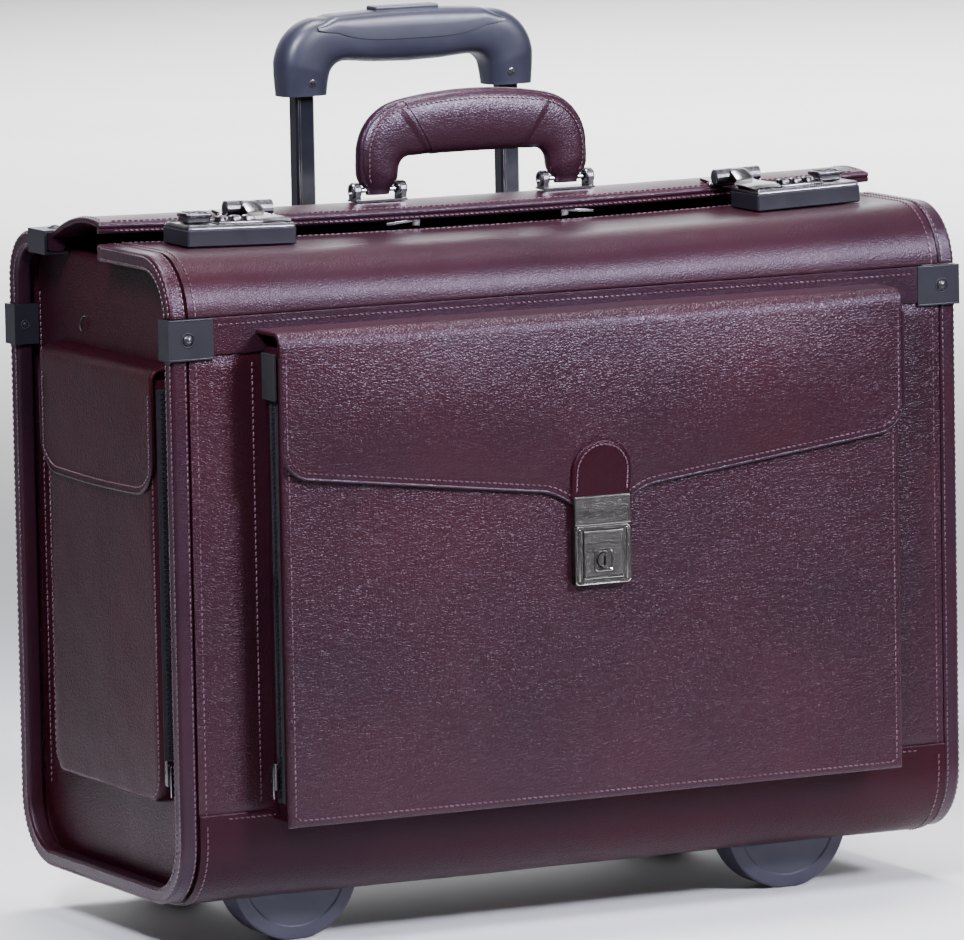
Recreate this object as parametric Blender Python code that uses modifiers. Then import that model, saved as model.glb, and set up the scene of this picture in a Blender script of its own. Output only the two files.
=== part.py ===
"""Pilot's rolling flight case: leather case body, split top with combination locks, pockets and trolley.

Units are metres, +Z is up and the front of the case faces -Y. Sizes are written in millimetres times MM.
Part positions are given in the case frame, whose Y origin is the middle of the case body. The case frame
empty then shifts everything along Y, so that the whole object's box is centred on the world origin.
"""

import math

import bmesh
import bpy
from mathutils import Matrix, Vector

MM = 0.001
GAP = 0.3 * MM

# Case body
CASE_LENGTH = 470 * MM
CASE_DEPTH = 210 * MM
FLOOR_GAP = 28 * MM
CASE_TOP = 375 * MM
WALL = 4.3 * MM
BOTTOM_RADIUS = 37 * MM
REAR_RADIUS = 28 * MM
FRONT_RADIUS = 34 * MM
RIM_WIDTH = 10 * MM
RIM_THICKNESS = 9.5 * MM
END_RECESS = 13 * MM
END_THICKNESS = 4.5 * MM
HALF_LENGTH = CASE_LENGTH / 2
HALF_DEPTH = CASE_DEPTH / 2
WALL_HALF_LENGTH = HALF_LENGTH - RIM_WIDTH - GAP
ARC_STEPS = 7

# Split top: a front lid hinged at the front, a rear flap hinged behind the middle
LID_HINGE_Z = 343 * MM
LID_THICKNESS = 4 * MM
LID_SAG = 4 * MM
LID_STEPS = 12
FLAP_HINGE_Y = 50 * MM
FLAP_FRONT_Y = -12 * MM
FLAP_HINGE_Z = 376 * MM
FLAP_RISE = 6 * MM
FLAP_ARCH = 5.5 * MM
FLAP_END_LIFT = 4 * MM
FLAP_THICKNESS = 3.5 * MM
FLAP_HALF_LENGTH = 233 * MM
LID_REAR_Y = FLAP_FRONT_Y - 1.5 * MM

# Carry handle
HANDLE_Y = 11 * MM
HANDLE_PIN_Z = 391.5 * MM
HANDLE_FOOT_X = 57 * MM
HANDLE_HALF_DEPTH = 8 * MM
HANDLE_TOP_Z = 443 * MM

# Combination locks
LOCK_X = 170.8 * MM
LOCK_Y = -43 * MM
LOCK_TILT = math.radians(1.6)
LOCK_HALF_LENGTH = 31.75 * MM
LOCK_HALF_DEPTH = 16 * MM
LOCK_HEIGHT = 9.5 * MM
PLATE_THICKNESS = 1.5 * MM
DIAL_RADIUS = 6.5 * MM
DIAL_WIDTH = 5 * MM
DIAL_PITCH = 7.6 * MM
DIAL_CENTRE_U = -1.4 * MM
DIAL_Y = -3 * MM
DIAL_Z = 7.6 * MM
HASP_Y = 26 * MM
HASP_Z = 16.3 * MM
HASP_U = -22.5 * MM
HASP_RADIUS = 4.2 * MM

# Front pocket
POCKET_HALF_LENGTH = 185 * MM
POCKET_FRONT_Y = -131 * MM
POCKET_BOTTOM_Z = 72 * MM
POCKET_TOP_Z = 326 * MM
POCKET_WALL = 2.5 * MM
FLAP_COVER_HALF = 188 * MM
FLAP_COVER_Y = -134.3 * MM
FLAP_COVER_TOP_Z = 335 * MM
FLAP_COVER_HINGE_Y = -105.8 * MM
FLAP_CORNER_Z = 257 * MM
FLAP_CENTRE_Z = 236 * MM
POCKET_LOCK_HALF = 16.5 * MM
POCKET_LOCK_TOP_Z = 236.5 * MM
POCKET_LOCK_SPLIT_Z = 221 * MM
POCKET_LOCK_BOTTOM_Z = 189 * MM
POCKET_LOCK_Y = -138 * MM
KEY_Z = 202 * MM

# End pockets
END_FACE_X = HALF_LENGTH - END_RECESS
END_POCKET_X = 232.5 * MM
END_POCKET_FRONT_Y = -76 * MM
END_POCKET_REAR_Y = 64 * MM
END_POCKET_BOTTOM_Z = 81 * MM
END_POCKET_TOP_Z = 308 * MM
END_FLAP_HINGE_Z = 316 * MM
END_FLAP_LOW_Z = 247 * MM

# Trolley
TUBE_X = 62.6 * MM
TUBE_Y = 93 * MM
TUBE_WALL = 0.9 * MM
INNER_TUBE = (11.2 * MM, 9.6 * MM)
MIDDLE_TUBE = (13.7 * MM, 12.1 * MM)
OUTER_TUBE = (16.2 * MM, 14.6 * MM)
BEZEL_TOP_Z = 372.3 * MM
GRIP_BOTTOM_Z = 437 * MM
GRIP_BAR_Z = 454 * MM
GRIP_TOP_Z = 482.8 * MM
GRIP_HALF_LENGTH = 77.5 * MM
GRIP_LEG_INNER_X = 48.5 * MM

# Wheels and feet
WHEEL_X = 150 * MM
WHEEL_Y = 88 * MM
WHEEL_RADIUS = 33 * MM
WHEEL_WIDTH = 24 * MM
AXLE_RADIUS = 4 * MM
FOOT_Y = -52 * MM
FOOT_RADIUS = 37 * MM
FOOT_CENTRE_Z = 36.6 * MM
FOOT_THICKNESS = 20 * MM

# Half the difference between how far the pocket lock and the wheels reach from the middle of the case
LOCK_FACE_Y = POCKET_LOCK_Y - 1.5 * MM
FRAME_SHIFT_Y = (-LOCK_FACE_Y - (WHEEL_Y + WHEEL_RADIUS)) / 2

SIDES = (("left", -1), ("right", 1))


def clear_scene():
    for thing in list(bpy.data.objects):
        bpy.data.objects.remove(thing, do_unlink=True)


def make_collection(name):
    collection = bpy.data.collections.new(name)
    bpy.context.scene.collection.children.link(collection)
    return collection


def make_material(name, colour, roughness, metallic=0.0):
    material = bpy.data.materials.new(name)
    material.use_nodes = True
    shader = material.node_tree.nodes["Principled BSDF"]
    shader.inputs["Base Color"].default_value = (*colour, 1.0)
    shader.inputs["Roughness"].default_value = roughness
    shader.inputs["Metallic"].default_value = metallic
    return material


clear_scene()
PARTS = make_collection("pilot_flight_case")
CUTTERS = make_collection("cutters")

LEATHER = ("leather", (0.075, 0.020, 0.032), 0.45)
LINING = ("lining", (0.03, 0.03, 0.035), 0.9)
BLACK_PLASTIC = ("black_plastic", (0.018, 0.020, 0.026), 0.5)
GRIP_PLASTIC = ("grip_plastic", (0.030, 0.033, 0.048), 0.45)
CHROME = ("chrome", (0.75, 0.75, 0.78), 0.15, 1.0)
GUNMETAL = ("gunmetal", (0.32, 0.30, 0.28), 0.35, 1.0)
BLACK_TUBE = ("black_tube", (0.012, 0.013, 0.020), 0.25, 0.6)
STEEL = ("steel", (0.55, 0.55, 0.56), 0.3, 1.0)
RUBBER = ("rubber", (0.015, 0.016, 0.022), 0.7)


def make_pivot(name, location, parent=None, rotation_y=0.0):
    """An empty on a joint's axis, or at the origin of a group of parts."""
    pivot = bpy.data.objects.new(name, None)
    pivot.empty_display_size = 10 * MM
    pivot.location = location
    pivot.rotation_euler = (0.0, rotation_y, 0.0)
    pivot.parent = parent
    PARTS.objects.link(pivot)
    return pivot


CASE = make_pivot("case_frame", (0.0, FRAME_SHIFT_Y, 0.0))


def finish(name, bm, look, parent=CASE, offset=(0, 0, 0), smooth=False):
    """Turns a bmesh into a part, or into a cutter when there is no look."""
    bmesh.ops.recalc_face_normals(bm, faces=bm.faces)
    mesh = bpy.data.meshes.new(name)
    bm.to_mesh(mesh)
    bm.free()
    piece = bpy.data.objects.new(name, mesh)
    piece.parent = parent
    piece.location = Vector(offset)
    if look is None:
        CUTTERS.objects.link(piece)
        piece.hide_render = True
        piece.display_type = "WIRE"
        return piece
    PARTS.objects.link(piece)
    material = bpy.data.materials.get(look[0])
    mesh.materials.append(material or make_material(*look))
    if smooth:
        mesh.shade_smooth()
        mesh.set_sharp_from_angle(angle=math.radians(35))
    return piece


def box(name, xs, ys, zs, look=None, parent=CASE, offset=(0, 0, 0)):
    bm = bmesh.new()
    low = Vector((min(xs), min(ys), min(zs)))
    high = Vector((max(xs), max(ys), max(zs)))
    size = high - low
    place = Matrix.Translation((low + high) / 2) @ Matrix.Diagonal((*size, 1.0))
    bmesh.ops.create_cube(bm, size=1.0, matrix=place)
    return finish(name, bm, look, parent, offset)


def cylinder(name, axis, centre, radius, length, look=None, parent=CASE, offset=(0, 0, 0), segments=32):
    turn = {"X": Matrix.Rotation(math.pi / 2, 4, "Y"), "Y": Matrix.Rotation(math.pi / 2, 4, "X")}
    bm = bmesh.new()
    place = Matrix.Translation(centre) @ turn.get(axis, Matrix.Identity(4))
    bmesh.ops.create_cone(
        bm, cap_ends=True, segments=segments, radius1=radius, radius2=radius, depth=length, matrix=place
    )
    return finish(name, bm, look, parent, offset, smooth=look is not None)


def prism(name, outline, axis, low, high, look=None, parent=CASE, offset=(0, 0, 0), steps=1):
    """A flat outline, given in the plane across the axis, extruded from low to high in equal steps."""
    order = {"X": (2, 0, 1), "Y": (0, 2, 1), "Z": (0, 1, 2)}[axis]
    bm = bmesh.new()
    rings = []
    for step in range(steps + 1):
        height = low + (high - low) * step / steps
        rings.append([bm.verts.new([(u, v, height)[i] for i in order]) for u, v in outline])
    bm.faces.new(rings[0])
    bm.faces.new(rings[-1])
    for near, far in zip(rings, rings[1:]):
        for index, corner in enumerate(near):
            bm.faces.new((near[index - 1], corner, far[index], far[index - 1]))
    return finish(name, bm, look, parent, offset)


def bevel(piece, width, segments=1):
    modifier = piece.modifiers.new("Bevel", "BEVEL")
    modifier.width = width
    modifier.segments = segments
    modifier.limit_method = "ANGLE"
    modifier.angle_limit = math.radians(40)
    return piece


def combine(piece, tool, operation="DIFFERENCE"):
    modifier = piece.modifiers.new(operation.title(), "BOOLEAN")
    modifier.operation = operation
    modifier.solver = "EXACT"
    modifier.object = tool
    return piece


def cut(piece, *tools):
    for tool in tools:
        combine(piece, tool)
    return piece


def join(piece, *tools):
    for tool in tools:
        combine(piece, tool, "UNION")
    return piece


def arc(centre, radius, start, stop, steps=ARC_STEPS):
    """Points along an arc; angles are in degrees from the outline's first axis."""
    points = []
    for step in range(steps + 1):
        angle = math.radians(start + (stop - start) * step / steps)
        points.append((centre[0] + radius * math.cos(angle), centre[1] + radius * math.sin(angle)))
    return points


def mirrored(half):
    """A closed outline from its +X half, given from top to bottom."""
    return half + [(-u, v) for u, v in reversed(half) if abs(u) > 1e-9]


# ---------------------------------------------------------------- case body

def body_path(inset, start_z=LID_HINGE_Z - 0.5 * MM, end_y=FLAP_HINGE_Y + GAP):
    """Case section in Y and Z: down the front, under the bottom, up the back and over to the rear flap."""
    low = FLOOR_GAP + BOTTOM_RADIUS
    points = [(-HALF_DEPTH + inset, start_z)]
    points += arc((-HALF_DEPTH + BOTTOM_RADIUS, low), BOTTOM_RADIUS - inset, 180, 270)
    points += arc((HALF_DEPTH - BOTTOM_RADIUS, low), BOTTOM_RADIUS - inset, 270, 360)
    top_centre = (HALF_DEPTH - REAR_RADIUS, CASE_TOP - REAR_RADIUS)
    points += arc(top_centre, REAR_RADIUS - inset, 0, 90)
    points.append((end_y, CASE_TOP - inset))
    return points


def lid_path(inset, rear_y=LID_REAR_Y):
    """Front lid section in Y and Z, from its hinge line over the front radius to its rear edge."""
    points = [(-HALF_DEPTH + inset, LID_HINGE_Z)]
    centre = (-HALF_DEPTH + FRONT_RADIUS, CASE_TOP - FRONT_RADIUS)
    points += arc(centre, FRONT_RADIUS - inset, 175, 90)
    points.append((rear_y, CASE_TOP - inset))
    return points


def band(path, inner, outer):
    return path(outer) + list(reversed(path(inner)))


def make_case_shell():
    shell = prism("case_shell", band(body_path, WALL, 0.0), "X", -WALL_HALF_LENGTH, WALL_HALF_LENGTH, LEATHER)
    clearance = RIM_THICKNESS + 1.5 * MM
    inside = 2 * MM
    outline = body_path(inside, LID_HINGE_Z - 2 * MM)
    outline.append((FLAP_HINGE_Y + GAP, CASE_TOP - clearance))
    outline += arc((-HALF_DEPTH + FRONT_RADIUS, CASE_TOP - FRONT_RADIUS), FRONT_RADIUS - clearance, 90, 180)
    for side, sign in SIDES:
        near = sign * (END_FACE_X - END_THICKNESS)
        far = sign * END_FACE_X
        panel = prism(f"{side}_end_panel_tool", outline, "X", min(near, far), max(near, far))
        join(shell, panel)
        well_xs = (sign * (WHEEL_X - 16.5 * MM), sign * (WHEEL_X + 16.5 * MM))
        cut(shell, box(f"{side}_wheel_well_tool", well_xs, (49.5 * MM, 120 * MM), (10 * MM, 72.5 * MM)))
        relief_half = OUTER_TUBE[0] / 2 + 0.5 * MM
        relief_xs = (sign * TUBE_X - relief_half, sign * TUBE_X + relief_half)
        relief_ys = (TUBE_Y - 9 * MM, TUBE_Y + OUTER_TUBE[1] / 2 + GAP)
        cut(shell, box(f"{side}_tube_relief_tool", relief_xs, relief_ys, (340 * MM, 365 * MM)))
    notch_z = BEZEL_TOP_Z - 12.3 * MM
    cut(shell, box("bezel_notch_tool", (-81 * MM, 81 * MM), (81.7 * MM, 120 * MM), (notch_z, 390 * MM)))
    return shell


def make_bindings():
    for side, sign in SIDES:
        near = sign * (HALF_LENGTH - RIM_WIDTH)
        far = sign * HALF_LENGTH
        prism(f"{side}_binding", band(body_path, RIM_THICKNESS, 0.0), "X", min(near, far), max(near, far), LEATHER)


def make_divider():
    bottom = FLOOR_GAP + WALL + GAP
    half = END_FACE_X - END_THICKNESS - 5 * MM
    box("file_divider", (-half, half), (18 * MM, 22 * MM), (bottom, 330 * MM), LINING)


def make_cap(name, sign, turn, rise):
    """Channel over the edge binding with a riveted face plate. It is built for a face whose outward
    direction is +Y and then turned about X."""
    reach = HALF_LENGTH + 1.8 * MM
    plate = 1.5 * MM
    half = 10.9 * MM
    outer = HALF_DEPTH + GAP
    pivot = make_pivot(f"{name}_place", (0.0, 0.0, rise), CASE)
    pivot.rotation_euler = (turn, 0.0, 0.0)
    xs = (sign * (reach - 25.8 * MM), sign * reach)
    cap = box(name, xs, (outer, outer + plate), (-half, half), BLACK_PLASTIC, pivot)
    end_xs = (sign * (reach - plate), sign * reach)
    inner = HALF_DEPTH - RIM_THICKNESS - GAP
    end_tool = box(f"{name}_end_tool", end_xs, (inner - plate, outer + plate), (-half, half), parent=pivot)
    hook_xs = (sign * (END_FACE_X + 0.7 * MM), sign * reach)
    hook_tool = box(f"{name}_hook_tool", hook_xs, (inner - plate, inner), (-half, half), parent=pivot)
    rivet_at = (sign * (reach - 11 * MM), outer + plate, 0.0)
    rivet = bmesh.new()
    bmesh.ops.create_uvsphere(
        rivet, u_segments=12, v_segments=8, radius=3 * MM,
        matrix=Matrix.Translation(rivet_at) @ Matrix.Diagonal((1.0, 0.6, 1.0, 1.0)),
    )
    rivet_tool = finish(f"{name}_rivet_tool", rivet, None, pivot)
    join(cap, end_tool, hook_tool, rivet_tool)


def make_caps():
    middle = LID_HINGE_Z - 11.4 * MM
    for side, sign in SIDES:
        make_cap(f"front_{side}_cap", sign, math.pi, middle)
        make_cap(f"rear_{side}_cap", sign, 0.0, 322 * MM)
        make_cap(f"top_{side}_cap", sign, math.pi / 2, CASE_TOP - HALF_DEPTH)
        top = bpy.data.objects[f"top_{side}_cap_place"]
        top.location.y = FLAP_HINGE_Y + 12 * MM


# ---------------------------------------------------------------- front lid and rear flap

def lid_drop(x):
    """How far the unsupported middle of the lid lies below its bound ends."""
    return LID_SAG * (1 - (x / WALL_HALF_LENGTH) ** 2)


def flap_top(x, y):
    """Height of the arched rear flap's upper face."""
    along = (FLAP_HINGE_Y - y) / (FLAP_HINGE_Y - FLAP_FRONT_Y)
    lift = FLAP_END_LIFT * (x / FLAP_HALF_LENGTH) ** 2 * along
    return FLAP_HINGE_Z + FLAP_RISE * along + 4 * FLAP_ARCH * along * (1 - along) + lift


def make_front_lid():
    pivot = make_pivot("front_lid_hinge", (0.0, -HALF_DEPTH, LID_HINGE_Z), CASE)
    offset = (0.0, HALF_DEPTH, -LID_HINGE_Z)
    half = WALL_HALF_LENGTH
    lid = prism("front_lid", band(lid_path, LID_THICKNESS, 0.0), "X", -half, half, LEATHER, pivot, offset, LID_STEPS)
    upright = CASE_TOP - LID_HINGE_Z
    for vert in lid.data.vertices:
        height = (vert.co.z - LID_HINGE_Z) / upright
        vert.co.z -= lid_drop(vert.co.x) * max(0.0, min(1.0, height))
    for side, sign in SIDES:
        near = sign * (half - 0.2 * MM)
        far = sign * HALF_LENGTH
        outline = band(lid_path, RIM_THICKNESS, 0.0)
        rim = prism(f"{side}_lid_rim_tool", outline, "X", min(near, far), max(near, far), None, pivot, offset)
        join(lid, rim)


def make_rear_flap():
    pivot = make_pivot("rear_flap_hinge", (0.0, FLAP_HINGE_Y, FLAP_HINGE_Z), CASE)
    offset = (0.0, -FLAP_HINGE_Y, -FLAP_HINGE_Z)
    rear = FLAP_HINGE_Y - GAP
    steps = 8
    ys = [rear + (FLAP_FRONT_Y - rear) * step / steps for step in range(steps + 1)]
    outline = [(y, 0.0) for y in ys] + [(y, -FLAP_THICKNESS) for y in reversed(ys)]
    half = FLAP_HALF_LENGTH
    flap = prism("rear_flap", outline, "X", -half, half, LEATHER, pivot, offset, LID_STEPS)
    for vert in flap.data.vertices:
        vert.co.z += flap_top(vert.co.x, vert.co.y)


def make_handle_brackets():
    plate_low = flap_top(HANDLE_FOOT_X, HANDLE_Y) + 0.4 * MM
    for side, sign in SIDES:
        middle = sign * HANDLE_FOOT_X
        xs = (middle - 15.2 * MM, middle + 15.2 * MM)
        ys = (HANDLE_Y - 6 * MM, HANDLE_Y + 6 * MM)
        bracket = box(f"{side}_handle_bracket", xs, ys, (plate_low, plate_low + 1.1 * MM), CHROME)
        for ear in (-1, 1):
            at = middle + ear * 13.7 * MM
            centre = (at, HANDLE_Y, HANDLE_PIN_Z)
            loop = cylinder(f"{side}_ear_tool_{ear}", "X", centre, 4.5 * MM, 3 * MM, segments=16)
            post_ys = (HANDLE_Y - 4.5 * MM, HANDLE_Y + 4.5 * MM)
            post_xs = (at - 1.5 * MM, at + 1.5 * MM)
            post = box(f"{side}_post_tool_{ear}", post_xs, post_ys, (plate_low + 0.5 * MM, HANDLE_PIN_Z))
            join(bracket, loop, post)
        pin = cylinder(f"{side}_pin_tool", "X", (middle, HANDLE_Y, HANDLE_PIN_Z), 1.4 * MM, 27 * MM, segments=12)
        join(bracket, pin)


def make_carry_handle():
    pivot = make_pivot("carry_handle_hinge", (0.0, HANDLE_Y, HANDLE_PIN_Z), CASE)
    offset = (0.0, -HANDLE_Y, -HANDLE_PIN_Z)
    foot = 3.2 * MM
    outer_x = 68.6 * MM
    inner_x = 45.4 * MM
    outer_radius = 28.6 * MM
    inner_radius = 8 * MM
    shoulder_z = 438 * MM - outer_radius
    half = [(0.0, HANDLE_TOP_Z), (20 * MM, HANDLE_TOP_Z - 1.3 * MM)]
    half += arc((outer_x - outer_radius, shoulder_z), outer_radius, 90, 0)
    half += [(outer_x, HANDLE_PIN_Z - foot), (inner_x, HANDLE_PIN_Z - foot)]
    half += arc((inner_x - inner_radius, 401 * MM), inner_radius, 0, 90, 4)
    half.append((0.0, 409.5 * MM))
    outline = half + [(-u, v) for u, v in reversed(half[1:-1])]
    ys = (HANDLE_Y - HANDLE_HALF_DEPTH, HANDLE_Y + HANDLE_HALF_DEPTH)
    handle = prism("carry_handle", outline, "Y", *ys, LEATHER, pivot, offset)
    bevel(handle, 5.5 * MM, 3)
    for side, sign in SIDES:
        for face in (-1, 1):
            xs = (sign * 40 * MM, sign * 75 * MM)
            near = HANDLE_Y + face * foot
            far = HANDLE_Y + face * 20 * MM
            cut(handle, box(f"{side}_pinch_tool_{face}", xs, (near, far), (380 * MM, 397 * MM), None, pivot, offset))
        at = (sign * HANDLE_FOOT_X, HANDLE_Y, HANDLE_PIN_Z)
        cut(handle, cylinder(f"{side}_bore_tool", "X", at, 1.7 * MM, 30 * MM, None, pivot, offset, 12))


# ---------------------------------------------------------------- combination locks

def across(sign, u):
    """Lock coordinates run outwards from the middle of the case."""
    return sign * u


def make_lock(side, sign):
    base_z = CASE_TOP - lid_drop(LOCK_X) + 0.4 * MM
    frame = make_pivot(f"{side}_lock_place", (sign * LOCK_X, LOCK_Y, base_z), CASE, -sign * LOCK_TILT)
    half_x = LOCK_HALF_LENGTH
    half_y = LOCK_HALF_DEPTH
    case = box(f"{side}_lock_case", (-half_x, half_x), (-half_y, half_y), (0, LOCK_HEIGHT), BLACK_PLASTIC, frame)
    bevel(case, 0.8 * MM)
    plate_low = LOCK_HEIGHT + 0.2 * MM
    plate_zs = (plate_low, plate_low + PLATE_THICKNESS)
    inset = 1 * MM
    plate_xs = (-half_x + inset, half_x - inset)
    plate = box(f"{side}_lock_plate", plate_xs, (-half_y + inset, half_y - inset), plate_zs, CHROME, frame)
    bevel(plate, 0.4 * MM)
    well_half = DIAL_RADIUS + 0.6 * MM
    for index in range(3):
        centre_x = across(sign, DIAL_CENTRE_U + (index - 1) * DIAL_PITCH)
        place = (centre_x, DIAL_Y, DIAL_Z)
        axle = make_pivot(f"{side}_dial_{index + 1}_axle", place, frame)
        cylinder(f"{side}_dial_{index + 1}", "X", (0, 0, 0), DIAL_RADIUS, DIAL_WIDTH, STEEL, axle, segments=20)
        xs = (centre_x - DIAL_WIDTH / 2 - 0.4 * MM, centre_x + DIAL_WIDTH / 2 + 0.4 * MM)
        ys = (DIAL_Y - well_half, DIAL_Y + well_half)
        well = box(f"{side}_dial_well_tool_{index}", xs, ys, (0.8 * MM, 30 * MM), None, frame)
        cut(case, well)
        cut(plate, well)
    slide_xs = (across(sign, 13 * MM), across(sign, 27 * MM))
    thumb_zs = (plate_zs[1] + 0.2 * MM, plate_zs[1] + 4.8 * MM)
    slider = box(f"{side}_lock_slider", slide_xs, (-4 * MM, 8 * MM), thumb_zs, CHROME, frame)
    bevel(slider, 1 * MM)


def make_hasp(side, sign):
    """A hinge leaf with a pin on the rear flap, and the hasp that folds forward over the lock plate."""
    frame = bpy.data.objects[f"{side}_lock_place"]
    middle = across(sign, HASP_U)
    half = 13.5 * MM
    knuckle = 5.5 * MM
    pin_at = (middle, HASP_Y, HASP_Z)
    flap_edge = FLAP_FRONT_Y - LOCK_Y
    base_z = CASE_TOP - lid_drop(LOCK_X) + 0.4 * MM
    hasp_x = sign * LOCK_X + middle
    leaf_rise = 1.2 * MM
    front_z = flap_top(hasp_x, FLAP_FRONT_Y) - base_z + leaf_rise
    rear_y = flap_edge + 12 * MM
    rear_z = flap_top(hasp_x, LOCK_Y + rear_y) - base_z + leaf_rise
    thick = 1.4 * MM
    barrel_y = HASP_Y + HASP_RADIUS - 1.5 * MM
    leaf_outline = [(barrel_y, front_z - 0.4 * MM), (rear_y, rear_z)]
    leaf_outline += [(rear_y, rear_z + thick), (barrel_y, front_z + thick + 1 * MM)]
    leaf = prism(f"{side}_hasp_hinge", leaf_outline, "X", middle - half, middle + half, CHROME, frame)
    relief_xs = (middle - knuckle - GAP, middle + knuckle + GAP)
    relief_y = HASP_Y + HASP_RADIUS + 1 * MM
    cut(leaf, box(f"{side}_relief_tool", relief_xs, (HASP_Y - 10 * MM, relief_y), (0, 40 * MM), None, frame))
    for end in (-1, 1):
        width = half - knuckle - GAP
        at = (middle + end * (knuckle + GAP + width / 2), HASP_Y, HASP_Z)
        join(leaf, cylinder(f"{side}_knuckle_tool_{end}", "X", at, HASP_RADIUS, width, None, frame, segments=16))
    join(leaf, cylinder(f"{side}_hasp_pin_tool", "X", pin_at, 1.5 * MM, 20 * MM, None, frame, segments=12))
    axle = make_pivot(f"{side}_hasp_axle", pin_at, frame)
    back = (-middle, -HASP_Y, -HASP_Z)
    plate_top = LOCK_HEIGHT + 0.2 * MM + PLATE_THICKNESS
    low = plate_top + 0.6 * MM
    strap_thick = 1.6 * MM
    front_y = -11 * MM
    strap = [(HASP_Y, HASP_Z + HASP_RADIUS - 0.3 * MM), (HASP_Y - 6 * MM, HASP_Z + 2.6 * MM)]
    strap += [(HASP_Y - 15 * MM, low + strap_thick), (front_y, low + strap_thick), (front_y, low)]
    strap += [(HASP_Y - 15.5 * MM, low), (HASP_Y - 6.5 * MM, HASP_Z + 0.6 * MM), (HASP_Y, HASP_Z + 2.4 * MM)]
    narrow = knuckle - 0.1 * MM
    hasp = prism(f"{side}_hasp", strap, "X", middle - narrow, middle + narrow, CHROME, axle, back)
    wide = 10 * MM
    wing_xs = (middle - wide, middle + wide)
    wing_ys = (front_y, HASP_Y - 12 * MM)
    join(hasp, box(f"{side}_wing_tool", wing_xs, wing_ys, (low, low + strap_thick), None, axle, back))
    join(hasp, cylinder(f"{side}_eye_tool", "X", pin_at, HASP_RADIUS, 2 * knuckle, None, axle, back, 16))
    cut(hasp, cylinder(f"{side}_eye_bore_tool", "X", pin_at, 1.8 * MM, 40 * MM, None, axle, back, 12))


# ---------------------------------------------------------------- pockets

def make_front_pocket():
    half = POCKET_HALF_LENGTH
    rear_y = -HALF_DEPTH - GAP
    zs = (POCKET_BOTTOM_Z, POCKET_TOP_Z)
    pocket = box("front_pocket", (-half, half), (POCKET_FRONT_Y, rear_y), zs, LEATHER)
    inner_half = half - POCKET_WALL
    inner_ys = (POCKET_FRONT_Y + POCKET_WALL, rear_y + 5 * MM)
    inner_zs = (POCKET_BOTTOM_Z + POCKET_WALL, POCKET_TOP_Z + 5 * MM)
    cut(pocket, box("front_pocket_room_tool", (-inner_half, inner_half), inner_ys, inner_zs))


def make_pocket_flap():
    place = (0.0, FLAP_COVER_HINGE_Y, FLAP_COVER_TOP_Z)
    pivot = make_pivot("pocket_flap_hinge", place, CASE)
    offset = (-place[0], -place[1], -place[2])
    half = FLAP_COVER_HALF
    corner = 16 * MM
    outline_half = [(half, FLAP_COVER_TOP_Z - 0.5 * MM)]
    outline_half += arc((half - corner, FLAP_CORNER_Z + corner), corner, 0, -80, 5)
    outline_half += [(POCKET_LOCK_HALF, FLAP_CENTRE_Z), (POCKET_LOCK_HALF - 2 * MM, FLAP_CENTRE_Z - 4 * MM)]
    ys = (FLAP_COVER_Y, FLAP_COVER_Y + POCKET_WALL)
    flap = prism("pocket_flap", mirrored(outline_half), "Y", *ys, LEATHER, pivot, offset)
    top_ys = (FLAP_COVER_Y + 1 * MM, FLAP_COVER_HINGE_Y)
    top_zs = (FLAP_COVER_TOP_Z - POCKET_WALL, FLAP_COVER_TOP_Z)
    join(flap, box("pocket_flap_top_tool", (-half, half), top_ys, top_zs, None, pivot, offset))
    lock_half = POCKET_LOCK_HALF
    strike_ys = (POCKET_LOCK_Y, FLAP_COVER_Y - GAP)
    strike_zs = (POCKET_LOCK_SPLIT_Z, POCKET_LOCK_TOP_Z)
    strike = box("pocket_lock_strike", (-lock_half, lock_half), strike_ys, strike_zs, GUNMETAL, pivot, offset)
    bevel(strike, 0.6 * MM)


def make_pocket_lock():
    half = POCKET_LOCK_HALF
    body_ys = (POCKET_LOCK_Y, POCKET_FRONT_Y - GAP)
    body_zs = (POCKET_LOCK_BOTTOM_Z, POCKET_LOCK_SPLIT_Z - 0.5 * MM)
    body = box("pocket_lock_body", (-half, half), body_ys, body_zs, GUNMETAL)
    bevel(body, 0.6 * MM)
    plate_half = 11.8 * MM
    plate_zs = (POCKET_LOCK_BOTTOM_Z + 3 * MM, POCKET_LOCK_SPLIT_Z - 3 * MM)
    well_half = plate_half + GAP
    well_zs = (plate_zs[0] - GAP, plate_zs[1] + GAP)
    floor_y = POCKET_LOCK_Y + 4 * MM
    cut(body, box("release_well_tool", (-well_half, well_half), (POCKET_LOCK_Y - 5 * MM, floor_y), well_zs))
    plate_ys = (POCKET_LOCK_Y - 0.5 * MM, floor_y - 1.5 * MM)
    release = box("pocket_lock_release", (-plate_half, plate_half), plate_ys, plate_zs, GUNMETAL)
    bore = cylinder("key_bore_tool", "Y", (0, POCKET_LOCK_Y, KEY_Z), 4.3 * MM, 20 * MM, segments=24)
    cut(release, bore)
    pivot = make_pivot("key_axis", (0.0, POCKET_LOCK_Y, KEY_Z), CASE)
    length = 3.4 * MM
    barrel_at = (0, LOCK_FACE_Y + length / 2 - POCKET_LOCK_Y, 0)
    barrel = cylinder("pocket_lock_cylinder", "Y", barrel_at, 4 * MM, length, STEEL, pivot, segments=24)
    slot_ys = (-3 * MM, LOCK_FACE_Y - POCKET_LOCK_Y + 1.4 * MM)
    cut(barrel, box("keyway_tool", (-0.7 * MM, 0.7 * MM), slot_ys, (-2.5 * MM, 2.5 * MM), None, pivot))


def make_zip_slider(name, xs, ys, zs):
    slider = box(name, xs, ys, zs, STEEL)
    bevel(slider, 0.6 * MM)


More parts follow.
